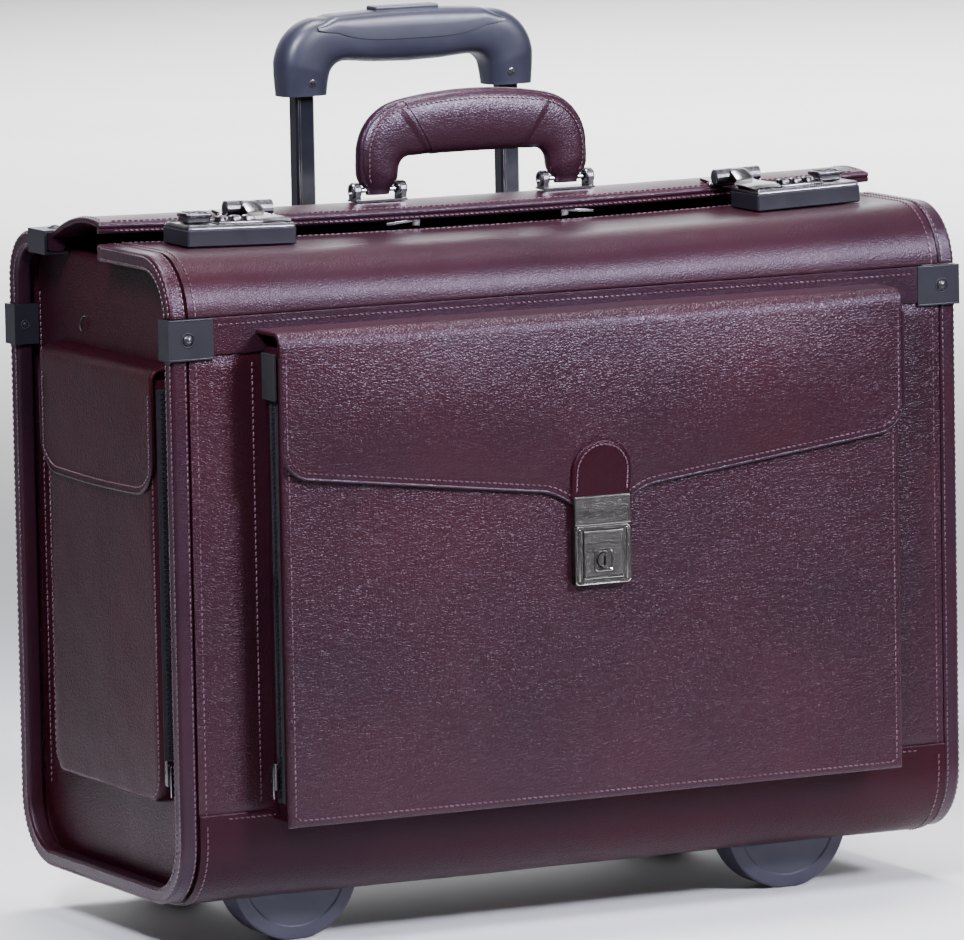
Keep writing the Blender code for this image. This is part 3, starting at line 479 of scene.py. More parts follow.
def pillow(name, outline, mapping, rings, back, material, body, slot="leather"):
    """A crowned panel. rings are (inset, height) from the rim inwards, back is the height of its flat rear."""
    cu = sum(p[0] for p in outline) / len(outline)
    cv = sum(p[1] for p in outline) / len(outline)
    reach = min(max(abs(p[0] - cu) for p in outline), max(abs(p[1] - cv) for p in outline))

    def pulled(d, inset):
        if inset > 0.35 * reach:
            return d * max(0.02, 1 - inset / reach)
        return math.copysign(max(0.0, abs(d) - inset * min(1.0, abs(d) / (0.3 * reach))), d)

    levels = [(0.0, back), *rings]
    verts = [
        mapping(cu + pulled(u - cu, inset), cv + pulled(v - cv, inset), height)
        for inset, height in levels for u, v in outline
    ]
    verts += [mapping(cu, cv, rings[-1][1]), mapping(cu, cv, back)]
    top = len(verts) - 2
    count = len(outline)
    last = (len(levels) - 1) * count
    faces = []
    for j, k in ring_pairs(count):
        faces += [(a + j, a + k, a + count + k, a + count + j) for a in range(0, last, count)]
        faces += [(last + j, last + k, top), (j, k, top + 1)]
    return build(name, verts, faces, material, body, (), slot, True, 50)


def filled(outline, step):
    """A closed outline with its long sides divided into steps."""
    found = []
    for a, b in zip(outline, outline[1:] + outline[:1]):
        count = max(1, round(math.dist(a, b) / step))
        found += [mix(a, b, i / count) for i in range(count)]
    return found


def rounded_outline(u0, u1, v0, v1, radii, step=5.0):
    """Closed outline of a rectangle with its own radius at each corner: low-low, high-low, high-high, low-high."""
    points = arc_points(u0 + radii[0], v0 + radii[0], radii[0], 180, 270, 8)
    points += arc_points(u1 - radii[1], v0 + radii[1], radii[1], 270, 360, 8)
    points += arc_points(u1 - radii[2], v1 - radii[2], radii[2], 0, 90, 8)
    points += arc_points(u0 + radii[3], v1 - radii[3], radii[3], 90, 180, 8)
    return filled(points, step)


# ---------------------------------------------------------------- case walls

LOW = FLOOR + BOTTOM_R
REAR_LOW_Y = HALF_DEPTH - BOTTOM_R
CREST_Y = HALF_DEPTH - REAR_R
FRONT_LINE = ("line", -HALF_DEPTH, 342.5, -HALF_DEPTH, LOW, -1, 0)
FRONT_CORNER = ("arc", -REAR_LOW_Y, LOW, BOTTOM_R, 180, 270)
REAR_CORNER = ("arc", REAR_LOW_Y, LOW, BOTTOM_R, 270, 360)
LID_PARTS = (
    ("line", -HALF_DEPTH, LID_SEAM_Z, -HALF_DEPTH, LID_SEAM_Z + 1, -1, 0),
    ("arc", -HALF_DEPTH + FRONT_R, TOP - FRONT_R, FRONT_R, 175, 90),
    ("line", -HALF_DEPTH + FRONT_R, TOP, LID_REAR_Y, TOP, 0, 1),
)


def wall(name, parts, x0, x1, material, outer=0.0, inner=-4.3, roll=(0, 0), wave=0.35, replaced=(), step=3.5, margin=0.0):
    """A strip of wall swept along a section. roll gives the edge radius at its start and end, and margin
    how far the panels beside the front pocket bulge."""
    path = trace(parts, step)
    lengths = measure([p[:2] for p in path])
    total = lengths[-1]
    xs = stations(x0, x1, step * (1.0 if margin else 1.3), PLAIN_EDGE)
    marks = stations(0.0, total, step) if any(roll) else lengths
    places = [(mark, mix(path[i], path[i + 1], share)) for mark, (i, share) in zip(marks, locate(lengths, marks))]

    def pair(row, x):
        s, (y, z, ny, nz) = row
        drop = max([rolled(d, radius) for d, radius in ((s, roll[0]), (total - s, roll[1])) if radius], default=0.0)
        swell = waviness(place(x, y, z), wave)
        if margin and 188 < abs(x) < 224 and 81 < z < 320 and y < 0:
            swell += 2 * margin * math.sin(math.pi * (abs(x) - 188) / 36) ** 1.2
        d = outer + swell * 0.5 - drop
        return place(x, y + ny * d, z + nz * d), place(x, y + ny * inner, z + nz * inner)

    return sheet(name, places, xs, pair, material, "case", replaced)


def make_walls():
    base_line = (-REAR_LOW_Y, FLOOR, 49.5, FLOOR, 0, -1)
    front_parts = [FRONT_LINE, FRONT_CORNER, ("line", *base_line)]
    wall("case_front_and_base", front_parts, -WALL_HALF, WALL_HALF, FRONT, replaced=("case_shell",), margin=1.6)
    corner = [
        ("line", 49.5, FLOOR, REAR_LOW_Y, FLOOR, 0, -1), REAR_CORNER,
        ("line", HALF_DEPTH, LOW, HALF_DEPTH, 72.5, 1, 0),
    ]
    for name, x0, x1 in (("left", -WALL_HALF, -166.5), ("middle", -133.5, 133.5), ("right", 166.5, WALL_HALF)):
        wall(f"rear_corner_{name}", corner, x0, x1, SMOOTH)
    notch = math.degrees(math.asin((360 - TOP + REAR_R) / REAR_R))
    over = math.degrees(math.acos((81.7 - CREST_Y) / REAR_R))

    def top_rear(start, stop):
        return ("arc", CREST_Y, TOP - REAR_R, REAR_R, start, stop)

    back = [("line", HALF_DEPTH, 72.5, HALF_DEPTH, TOP - REAR_R, 1, 0), top_rear(0, notch)]
    wall("case_back", back, -WALL_HALF, WALL_HALF, FRONT)
    for side, sign in SIDES:
        wall(f"{side}_top_rear_corner", [top_rear(notch, over)], *sorted((sign * WALL_HALF, sign * 81.0)), TOPSIDE_PAINTED_SHEEN)
    crest = [top_rear(over, 90), ("line", CREST_Y, TOP, FLAP_HINGE_Y + 0.3, TOP, 0, 1)]
    wall("case_top_rear", crest, -WALL_HALF, WALL_HALF, TOPSIDE_PAINTED_SHEEN)
    wrap = [
        ("line", -HALF_DEPTH, 79.8, -HALF_DEPTH, LOW, -1, 0), FRONT_CORNER,
        ("line", -REAR_LOW_Y, FLOOR, 49.0, FLOOR, 0, -1),
    ]
    wall("front_bottom_wrap", wrap, -WALL_HALF, WALL_HALF, SMOOTH, 1.3, -0.2, (1.2, 0), 0.5)
    band = [("line", -HALF_DEPTH, 342.4, -HALF_DEPTH, 322.5, -1, 0)]
    wall("front_top_band", band, -WALL_HALF, WALL_HALF, EDGE, 1.4, -0.2, (0.4, 1.3), 0.5, step=2.0)
    xs = [-WALL_HALF + 4 + i * 4.0 for i in range(int((2 * WALL_HALF - 8) / 4) + 1)]
    for name, z, depth in (("lid_line", 338.6, 1.4), ("wrap_line", 76.6, 1.3)):
        line = [place(x, -HALF_DEPTH - depth, z) for x in xs if abs(x) < 210]
        stitches(f"stitches_{name}", line, TO_FRONT, "case")
    zs = [78 + i * 6.0 for i in range(42)]
    path = trace([("line", -HALF_DEPTH, 74, -HALF_DEPTH, LOW, -1, 0), FRONT_CORNER])
    for side, sign in SIDES:
        line = [place(sign * 220.6, -HALF_DEPTH - 0.15, z) for z in zs if z < 321]
        stitches(f"stitches_{side}_front_edge", line, TO_FRONT, "case")
        line = [place(sign * 220.6, y + ny * 1.4, z + nz * 1.4) for y, z, ny, nz in path]
        stitches(f"stitches_{side}_wrap_edge", line, outward(path), "case")
        line = [place(sign * 188.5, -HALF_DEPTH - 0.2, z) for z in zs if 81 < z < 319]
        stitches(f"stitches_{side}_gusset_seam", line, TO_FRONT, "case")


def outward(path):
    return [Vector((0, p[2], p[3])) for p in path]


def make_end_panels():
    arcs = trace(
        [
            ("arc", -REAR_LOW_Y, LOW, BOTTOM_R - 2.4, 180, 270),
            ("arc", REAR_LOW_Y, LOW, BOTTOM_R - 2.4, 270, 360),
            ("arc", CREST_Y, TOP - REAR_R, REAR_R - 9, 0, 90),
            ("arc", -HALF_DEPTH + FRONT_R, TOP - FRONT_R, FRONT_R - 10, 90, 180),
        ],
        4.0,
    )
    outline = filled([p[:2] for p in arcs], 8)
    rings = ((0.0, -1.2), (0.8, -0.5), (2.0, -0.2), (5, 0.0), (20, 0.3), (60, 0.4), (90, 0.4))
    for side, sign in SIDES:
        def mapping(u, v, height, sign=sign):
            return place(sign * (END_X + height + waviness(place(sign * END_X, u, v), 0.3)), u, v)

        pillow(f"{side}_end_leather", outline, mapping, rings, -4.4, SMOOTH, "case")
        for tag, y in (("rear", 92.0), ("front", -92.0)):
            line = [place(sign * (END_X + 0.15), y, 70 + 6.0 * i) for i in range(46)]
            stitches(f"stitches_{side}_end_{tag}", line, Vector((sign, 0, 0)), "case")
        hook = []
        for i in range(13):
            angle = math.radians(-10 + 200 * i / 12)
            middle = place(sign * (END_X + 0.4 + 2.2 * math.sin(angle)), 34, 327 - 4.2 * math.cos(angle))
            out = Vector((sign * math.sin(angle), 0, -math.cos(angle)))
            hook.append([middle + (out * c + TO_BACK * s) * (0.6 * MM) for c, s in circle(8)])
        loft(f"{side}_end_hook", hook, CHROME, "case", (), "chrome")


def binding_section(x0, x1, deep, sign):
    """(x, offset) points round a binding: a rounded strip with a shallow channel along its outer face."""
    out = []
    for c, s in circle(28):
        u = squared(c, 0.45)
        v = squared(s, 0.45)
        x = (x0 + x1) / 2 + (x1 - x0) / 2 * u
        d = -deep / 2 + deep / 2 * v
        if v > 0.9:
            d -= 0.55 * math.exp(-((u - 0.1) / 0.22) ** 2)
        if u > 0.9:
            x -= 0.6 * math.exp(-((v + 0.15) / 0.22) ** 2)
        out.append((sign * x, d))
    return out


def binding(name, parts, sign, body, replaced):
    path = trace(parts, 4.0)
    section = binding_section(225.0, 235.0, 9.5, sign)
    rings = []
    for y, z, ny, nz in path:
        ring = []
        for x, d in section:
            d += waviness(place(x, y, z), 0.12, 0.02) if d > -4 else 0.0
            ring.append(place(x, y + ny * d, z + nz * d))
        rings.append(ring)
    loft(name, rings, EDGE, body, replaced)
    inside = path[1:-1]
    for tag, x, d in (("outer", 234.85, -1.9), ("inner", 234.85, -7.4), ("face", 227.0, 0.0)):
        line = [place(sign * x, y + ny * d, z + nz * d) for y, z, ny, nz in inside]
        normals = outward(inside) if tag == "face" else Vector((sign, 0, 0))
        stitches(f"{name}_stitches_{tag}", line, normals, body)


def make_bindings():
    body_parts = [
        FRONT_LINE,
        FRONT_CORNER,
        ("line", -REAR_LOW_Y, FLOOR, REAR_LOW_Y, FLOOR, 0, -1),
        REAR_CORNER,
        ("line", HALF_DEPTH, LOW, HALF_DEPTH, TOP - REAR_R, 1, 0),
        ("arc", CREST_Y, TOP - REAR_R, REAR_R, 0, 90),
        ("line", CREST_Y, TOP, FLAP_HINGE_Y + 0.3, TOP, 0, 1),
    ]
    for side, sign in SIDES:
        binding(f"{side}_bound_edge", body_parts, sign, "case", (f"{side}_binding",))
        binding(f"{side}_lid_bound_edge", LID_PARTS, sign, "front_lid", ())


# ---------------------------------------------------------------- lid and flap

def lid_drop(x):
    return 4.0 * (1 - (x / 224.7) ** 2)


def flap_top(x, y):
    along = (FLAP_HINGE_Y - y) / (FLAP_HINGE_Y - FLAP_FRONT_Y)
    lift = 4.0 * (x / FLAP_SIDE) ** 2 * along
    return FLAP_Z + 6.0 * along + 22.0 * along * (1 - along) + lift


def make_lid():
    path = trace(LID_PARTS, 2.2)
    half = WALL_HALF - 0.2
    xs = stations(-half, half, 5.0, PLAIN_EDGE)

    def pair(row, x):
        y, z, ny, nz = row
        edge = rolled(LID_REAR_Y - y, 1.6) if z > TOP - 1 else 0.0
        fall = lid_drop(x) * max(0.0, (z - LID_SEAM_Z) / 32)
        d = 0.5 * waviness(place(x, y, z), 0.5) - edge
        return place(x, y + ny * d, z + nz * d - fall), place(x, y - ny * 4.0, z - nz * 4.0 - fall)

    sheet("lid_leather", path, xs, pair, TOPSIDE_PAINTED_SHEEN, "front_lid", ("front_lid",))
    line = [place(x, LID_REAR_Y - 3.5, TOP - lid_drop(x) + 0.1) for x in xs if abs(x) < half - 2]
    stitches("stitches_lid_rear", line, UP, "front_lid")
    drop = lid_drop(220.5) / 32
    for side, sign in SIDES:
        line = [
            place(sign * 220.5, y + ny * 0.2, z + nz * 0.2 - drop * (z - LID_SEAM_Z)) for y, z, ny, nz in path
        ]
        stitches(f"stitches_{side}_lid_edge", line, outward(path), "front_lid")


def make_rear_flap():
    half = FLAP_SIDE
    front = FLAP_FRONT_Y
    xs = stations(-half, half, 6.0)
    ys = stations(front, FLAP_HINGE_Y - 0.3, 3.0)

    def pair(y, x):
        edge = max(rolled(y - front, 1.4), rolled(half - abs(x), 1.4))
        top = flap_top(x, y)
        swell = 0.4 * waviness(place(x, y, 380), 0.5)
        return place(x, y, top - edge + swell), place(x, y, top - 3.4 + 0.6 * edge)

    def lip(bend, x):
        z = flap_top(x, front) - 1.75
        outer = place(x, front - 0.9 * math.sin(bend), z + 1.35 * math.cos(bend))
        return outer, place(x, front + 1.2, z + 1.1 * math.cos(bend))

    sheet("rear_flap_leather", ys, xs, pair, TOPSIDE_PAINTED_SHEEN, "rear_flap", ("rear_flap",))
    sheet("rear_flap_front_lip", [math.pi * t / 8 for t in range(9)], xs, lip, EDGE, "rear_flap")
    section = ((2.2, -3.0), (0.0, -3.1), (-0.9, -3.9), (-0.8, -4.9), (-0.2, -5.7), (1.2, -6.0), (2.2, -5.6))
    welt = [[place(x, front + dy, flap_top(x, front) + dz) for dy, dz in section] for x in xs]
    loft("rear_flap_welt", welt, EDGE, "rear_flap")
    wide = [x for x in xs if abs(x) < half - 3]
    line = [place(x, front - 0.9, flap_top(x, front) - 4.4) for x in wide]
    stitches("stitches_flap_welt", line, TO_FRONT, "rear_flap", 3.0)
    for tag, y in (("front", front + 3.4), ("rear", FLAP_HINGE_Y - 4.0)):
        line = [place(x, y, flap_top(x, y) + 0.05) for x in wide]
        stitches(f"stitches_flap_{tag}", line, UP, "rear_flap")
    seam = [place(x, FLAP_HINGE_Y + 5.0, TOP + 0.1) for x in xs if abs(x) < 221]
    stitches("stitches_top_rear", seam, UP, "case")
    for side, sign in SIDES:
        line = [place(sign * (half - 3.4), y, flap_top(half - 3.4, y) + 0.05) for y in ys if -8 < y < 46]
        stitches(f"stitches_flap_{side}", line, UP, "rear_flap")
        for tag, x, y, z, angle, size in (
            ("loop", 54, -10.4, 375.2, 5, (9, 1.0, 1.0)), ("tab", 45, -10.6, 374.8, -7, (2.4, 1.1, 2.3)),
        ):
            turn = Matrix.Translation(place(sign * x, y, z)) @ Matrix.Rotation(math.radians(sign * angle), 4, "Y")
            low = [-s for s in size]
            rounded_box(f"{side}_underside_{tag}", low, size, 0.5, CHROME, "rear_flap", "chrome", turn)


# ---------------------------------------------------------------- carry handle

def pair_points(outer, inner, count):
    """Matching points at even spacing along two lines."""
    def even(points):
        lengths = measure(points)
        marks = [lengths[-1] * i / (count - 1) for i in range(count)]
        return [mix(points[i], points[i + 1], share) for i, share in locate(lengths, marks)]

    return list(zip(even(outer), even(inner)))


def whole(half):
    """A left-to-right line from its +X half, which runs from the middle outwards."""
    return [(-x, z) for x, z in reversed(half)] + half[1:]


def arch(name, pairs, y, depth, power, material, body, replaced, slot, turns=32, sway=0.0):
    """A bar swept along pairs of outer and inner points, with a rounded section depth(x, z) deep."""
    rings = []
    for outer, inner in pairs:
        cx, cz = mix(inner, outer, 0.5)
        ax = (outer[0] - inner[0]) / 2
        az = (outer[1] - inner[1]) / 2
        half = depth(cx, cz)
        ring = []
        for c, s in circle(turns):
            c = squared(c, 2 / power)
            p = place(cx + ax * c, y + half * squared(s, 2 / power), cz + az * c)
            if sway:
                p += (p - place(cx, y, cz)).normalized() * (waviness(p, sway, 0.02) * MM)
            ring.append(p)
        rings.append(ring)
    return loft(name, rings, material, body, replaced, slot, angle=60)


def make_handle():
    y = HANDLE_Y
    outer_half = [(4.0 * i, 442.8 - 0.0021 * (4.0 * i) ** 2) for i in range(12)]
    outer_half += arc_points(40.0, 410.4, 28.4, 73, 0)
    outer_half += [(68.6, 404), (68.4, 399), (66.5, 394.6), (64.4, 391.5), (63.8, 388.8)]
    inner_half = [(0, 409.8), (20, 409.6), (36, 408.8)]
    inner_half += arc_points(37.6, 401.4, 7.6, 84, 0, 8)
    inner_half += [(45.6, 398), (46.6, 395.0), (49.6, 392.0), (50.4, 388.8)]
    pairs = pair_points(whole(outer_half), whole(inner_half), 110)

    def depth(cx, cz):
        foot = clamp((cz - 391.5) / 9)
        return (3.4 + 4.4 * foot ** 0.7) * (1.0 if abs(cx) < 37 else 0.90)

    arch("handle_leather", pairs, y, depth, 2.5, GRIP_HIDE, "carry_handle", ("carry_handle",), "leather", 36, 0.18)
    middle = [(outer, inner) for outer, inner in pairs if abs(outer[0]) < 43.5]
    wrap = [(towards(outer, inner, -0.55), towards(inner, outer, -0.55)) for outer, inner in middle]
    arch("handle_grip_wrap", wrap, y, lambda x, z: 8.3, 2.5, GRIP_HIDE, "carry_handle", (), "leather", 36, 0.15)
    ridge = [(towards(outer, inner, -0.9), towards(outer, inner, 3.2)) for outer, inner in pairs[3:-3]]
    arch("handle_edge_fold", ridge, y, lambda x, z: 3.6, 2.2, EDGE, "carry_handle", (), "leather", 16)
    for face, tag in ((-1, "front"), (1, "rear")):
        line = []
        for outer, inner in pairs[4:-4]:
            x, z = towards(outer, inner, 4.2)
            lie = (1 - abs(1 - 8.4 / math.dist(outer, inner)) ** 2.5) ** 0.4
            half = 8.3 if abs(outer[0]) < 43.5 else depth(x, (outer[1] + inner[1]) / 2)
            line.append(place(x, y + face * (half * lie + 0.35), z))
        stitches(f"handle_stitches_{tag}", line, Vector((0, face, 0.3)), "carry_handle", 2.9, 0.35)


def make_brackets():
    section = ((-2.4, 0.0), (-2.4, 1.0), (-1.9, 1.25), (1.9, 1.25), (2.4, 1.0), (2.4, 0.0))
    for side, sign in SIDES:
        finish_nodes(CHROME, f"{side}_handle_bracket")
        for tag, u in (("inner", -13.7), ("outer", 13.7)):
            rings = []
            for c, s in arc_points(0, 0, 1, -40, 260, 18):
                rings.append([
                    place(sign * (57.0 + u) + x, HANDLE_Y + (2.9 + r) * c, 391.5 + (2.9 + r) * s) for x, r in section
                ])
            loft(f"{side}_{tag}_rolled_loop", rings, CHROME, "rear_flap", (), "chrome")


# ---------------------------------------------------------------- pockets

def make_zip(name, line, normal, width, body):
    """Tape with two rows of interlocked teeth along a straight line of two points."""
    start, stop = line
    along = (stop - start).normalized()
    side = along.cross(normal).normalized()
    half = side * (width / 2 * MM)
    corners = [start - half, start + half, stop + half, stop - half]
    verts = corners + [p + normal * (0.5 * MM) for p in corners]
    build(f"{name}_tape", verts, BOX_FACES, ZIP_TAPE, body, (), "lining", False)
    length = (stop - start).length / MM
    verts = []
    faces = []
    count = int(length / 1.3)
    for i in range(count):
        shift = side * ((0.55 if i % 2 else -0.55) * MM)
        centre = start + along * ((i + 0.5) * length / count * MM) + shift + normal * (0.9 * MM)
        faces += [tuple(len(verts) + k for k in face) for face in BOX_FACES]
        for up in (-0.5, 0.5):
            for across, forward in ((-1.1, -0.36), (1.1, -0.36), (1.1, 0.36), (-1.1, 0.36)):
                verts.append(centre + (side * across + along * forward + normal * up) * MM)
    build(f"{name}_teeth", verts, faces, INK_AND_PAINTED_SHADE, body, (), "lining", False)


def make_front_pocket():
    half = 184.6
    low = 72.4
    high = 329.0
    face = -131.2
    inset = 4.0
    xs = stations(-half, half, 4.5)
    zs = stations(low, high, 4.0)

    def proud(x, z):
        crown = 1.6 * (1 - (x / half) ** 2) * math.sin(math.pi * (z - low) / (high - low))
        return crown + 0.6 * waviness(place(x, face, z), 0.6)

    def pair(z, x):
        edge = max(rolled(half - abs(x), 2.2), rolled(z - low, 2.2))
        return place(x, face - proud(x, z) + edge, z), place(x, face + 2.6, z)

    sheet("pocket_front_leather", zs, xs, pair, FRONT, "case", ("front_pocket",))
    upright = [z for z in zs if z > low + inset]
    edge_line = [(-half + inset, z) for z in reversed(upright)]
    edge_line += [(x, low + inset) for x in xs if abs(x) < half - inset]
    edge_line += [(half - inset, z) for z in upright]
    line = [place(x, face - proud(x, z) - 0.05, z) for x, z in edge_line]
    stitches("stitches_pocket_edge", line, TO_FRONT, "case")
    outline = rounded_outline(-128.8, -105.3, low + 2, high - 3, (3, 1, 1, 8), 8.0)
    rings = ((0.0, -0.8), (1.5, 0.2), (5, 0.4), (9, 0.4))
    for side, sign in SIDES:
        def mapping(u, v, height, sign=sign):
            fold = 1.6 * math.cos((u + 117) / 12 * math.pi) if -128 < u < -106 else 0.0
            swell = 0.8 * waviness(place(sign * 180, u, v), 0.7)
            return place(sign * (181.4 + height + 0.5 * fold + swell), u, v)

        pillow(f"{side}_pocket_gusset", outline, mapping, rings, -2.2, SMOOTH, "case")
        line = [place(sign * 182.2, -118.0, z) for z in (low + 12, high - 14)]
        make_zip(f"{side}_pocket_zip", line, Vector((sign, 0, 0)), 9.0, "case")
        tape = ((sign * 184 - 1.0, -124, 298), (sign * 184 + 1.0, -109, 323))
        rounded_box(f"{side}_zip_top_tape", *tape, 0.6, ZIP_TAPE, "case", "lining")
        finish_nodes(CHROME, f"{side}_zip_slider")
        pull = ((sign * 187.6 - 0.6, -120.0, 87), (sign * 187.6 + 0.6, -116.4, 104))
        rounded_box(f"{side}_zip_pull", *pull, 0.5, CHROME, f"{side}_zip_slider", "steel")
    pillow(
        "pocket_floor_gusset", rounded_outline(-half + 3, half - 3, -128.8, -105.3, (2, 2, 1, 1), 12.0),
        lambda u, v, h: place(u, v, low + 1.6 - h), ((0.0, -0.6), (1.0, 0.0), (6, 0.1)), -2.0, SMOOTH, "case",
    )


FLAP_TOP = 335.0
FLAP_CORNER = 15.0


def flap_low(x):
    """Lower edge of the pocket's flap: a shallow V with a tongue in the middle and round outer corners."""
    x = abs(x)
    if x < 15.5:
        return 232.5
    if x < 34:
        t = (x - 15.5) / 18.5
        return 232.5 + 7.1 * math.sin(t * math.pi / 2) + 1.11 * t * t
    straight = 240.7 + (x - 34) * 16.6 / 138
    along = x - (POCKET_FLAP_HALF - FLAP_CORNER)
    return straight + corner_drop(FLAP_CORNER, min(FLAP_CORNER, along)) if along > 0 else straight


def flap_swell(x, z):
    """How far the closed flap stands proud of flat, fullest above its middle."""
    down = (FLAP_TOP - z) / (FLAP_TOP - flap_low(x))
    return 4.4 * math.sin(math.pi * clamp(down) ** 0.95) * (1 - (x / POCKET_FLAP_HALF) ** 4)


def make_pocket_flap():
    bend = 8.0
    face = -134.5
    hinge_y = -105.9
    thick = 2.5
    half = POCKET_FLAP_HALF
    corner = half - FLAP_CORNER
    right = [0.0, 5, 10, 13, 15.5, 17, 19, 21, 23.5, 26, 29, 32, 34]
    right += [34 + (corner - 34) * i / 26 for i in range(1, 27)]
    right += [corner + 15 * math.sin(math.radians(a)) for a in (12, 24, 36, 48, 58, 66, 73, 79, 84, 88, 90)]
    xs = [-x for x in reversed(right)] + right[1:]
    run = hinge_y - (face + bend)
    quarter = bend * math.pi / 2

    def at(s, depth):
        if s <= run:
            return hinge_y - s, FLAP_TOP - depth, 0.0, 1.0
        if s <= run + quarter:
            a = (s - run) / bend
            r = bend - depth
            y = face + bend - r * math.sin(a)
            return y, FLAP_TOP - bend + r * math.cos(a), -math.sin(a), math.cos(a)
        return face + depth, FLAP_TOP - bend - (s - run - quarter), -1.0, 0.0

    def pair(t, x):
        total = run + quarter + (FLAP_TOP - bend) - flap_low(x)
        s = total * (1 - (1 - t) ** 1.15)
        y, z, ny, nz = at(s, 0.0)
        edge = max(rolled(total - s, 1.3), rolled(half - abs(x), 1.3))
        swell = flap_swell(x, z) if s > run + quarter * 0.5 else 0.0
        d = max(swell + 0.7 * waviness(place(x, y, z), 0.6) - edge, -edge)
        return place(x, y + ny * d, z + nz * d), place(x, *at(s, thick - 0.3)[:2])

    def on_face(x, z, forward):
        return place(x, face - forward - flap_swell(x, z), z)

    sheet("pocket_flap_leather", [i / 64 for i in range(65)], xs, pair, FRONT, "pocket_flap", ("pocket_flap",))
    edge_line = []
    for x in xs[2:-2]:
        slope = (flap_low(x + 0.05) - flap_low(x - 0.05)) / 0.1
        size = math.hypot(1, slope)
        px = x - slope / size * 3.2
        if abs(px) < half - 3:
            edge_line.append(on_face(px, flap_low(x) + 3.2 / size, 0.1))
    rim = [on_face(x, flap_low(x), -0.2) + UP * (0.1 * MM) for x in xs[1:-1]]
    upright = [322 - 5 * i for i in range(10)]
    left = [place(-half + 0.1, face + 0.2, z) for z in upright]
    right = [place(half - 0.1, face + 0.2, z) for z in reversed(upright)]
    bead("pocket_flap_rim", left + rim + right, 0.85, "pocket_flap")
    side_z = [325 - 5 * i for i in range(11)]
    left = [place(-half + 3.3, face - 0.25, z) for z in side_z]
    right = [place(half - 3.3, face - 0.25, z) for z in reversed(side_z)]
    stitches("stitches_pocket_flap", left + edge_line + right, TO_FRONT, "pocket_flap")
    half = 17.6
    round_top = arc_points(0, 0, 1, 0, 180, 24)
    outline = [(half * c, 249.5 + 17.2 * s) for c, s in round_top]
    outline += [(-half, 249.5 - 3.2 * i) for i in range(1, 5)]
    outline += [(-15.4, 233.0), (-10, 232.6), (0, 232.6), (10, 232.6), (15.4, 233.0)]
    outline += [(half, 236.7 + 3.2 * i) for i in range(0, 4)]
    rings = ((0.0, 1.0), (0.6, 1.7), (1.5, 2.0), (4, 2.1), (10, 2.2))
    pillow(
        "pocket_tab_leather", outline, lambda u, v, h: on_face(u, v, 0.1 + h), rings, 0.0, SMOOTH, "pocket_flap",
    )
    half -= 2.6
    seam = [(half, 239)] + [(half * c, 249.5 + 14.6 * s) for c, s in round_top] + [(-half, 239)]
    stitches("stitches_pocket_tab", [on_face(x, z, 2.25) for x, z in seam], TO_FRONT, "pocket_flap", 2.6)


def frame_ring(name, half, low, high, forward, width, rise, body, radius):
    """A raised bright rectangular border standing forward of a plate of the pocket's lock."""
    middle = (low + high) / 2
    tall = (high - low) / 2
    rings = []
    for x, z in rounded_outline(-half, half, low, high, (radius,) * 4, 6.0):
        ux = x / half
        uz = (z - middle) / tall
        section = ((0.0, 0.0), (0.0, rise * 0.7), (width * 0.35, rise), (width, rise * 0.2), (width, 0.0))
        rings.append([
            place(ux * (half - inset), LOCK_FACE_Y + forward - up, middle + uz * (tall - inset)) for inset, up in section
        ])
    loft(name, rings, BRIGHT_METAL_AND_PAINTED_HIGHLIGHT, body, (), "gunmetal", True, angle=30)


def make_pocket_lock():
    finish_nodes(NICKEL, *(f"pocket_lock_{part}" for part in ("body", "release", "strike", "cylinder")))
    frame_ring("strike_bright_border", 16.5, 221.1, 236.4, 0.3, 0.9, 0.7, "pocket_flap", 0.6)
    frame_ring("lock_body_border", 16.5, 189.1, 220.4, 0.3, 0.8, 0.6, "case", 2.2)
    frame_ring("lock_plate_border", 11.8, 192.2, 217.8, -0.3, 0.8, 0.6, "pocket_lock_release", 0.5)
    frame_ring("keyhole_border", 5.4, 196.0, 208.0, -0.4, 1.0, 1.0, "pocket_lock_release", 1.6)
    for side, sign in SIDES:
        low = (sign * 14.2 - 0.5, LOCK_FACE_Y - 0.45, 191)
        high = (sign * 14.2 + 0.5, LOCK_FACE_Y + 0.4, 219)
        rounded_box(f"{side}_lock_rail", low, high, 0.35, BRIGHT_METAL_AND_PAINTED_HIGHLIGHT, "case", "gunmetal")


def make_end_pockets():
    outline = [p for p in rounded_outline(-73, 61, 84, 305, (13, 13, 4, 4), 5.0) if p[1] < 300]
    start = max(range(len(outline)), key=lambda i: math.dist(outline[i], outline[i - 1]))
    outline = outline[start:] + outline[:start]
    for side, sign in SIDES:
        make_end_pocket_front(side, sign)
        line = [place(sign * 232.6, u, v) for u, v in outline]
        stitches(f"stitches_{side}_end_pocket", line, Vector((sign, 0, 0)), "case")
        line = [place(sign * 227.3, -76.3, z) for z in (92, 303)]
        make_zip(f"{side}_end_zip", line, TO_FRONT, 7.6, "case")
        finish_nodes(CHROME, f"{side}_end_zip_slider")
        x0, x1 = sorted((sign * 226.4, sign * 229.4))
        pull = ((x0, -80.6, 86), (x1, -79.3, 103))
        rounded_box(f"{side}_end_zip_pull", *pull, 0.5, CHROME, f"{side}_end_zip_slider", "steel")
        make_end_flap(side, sign)


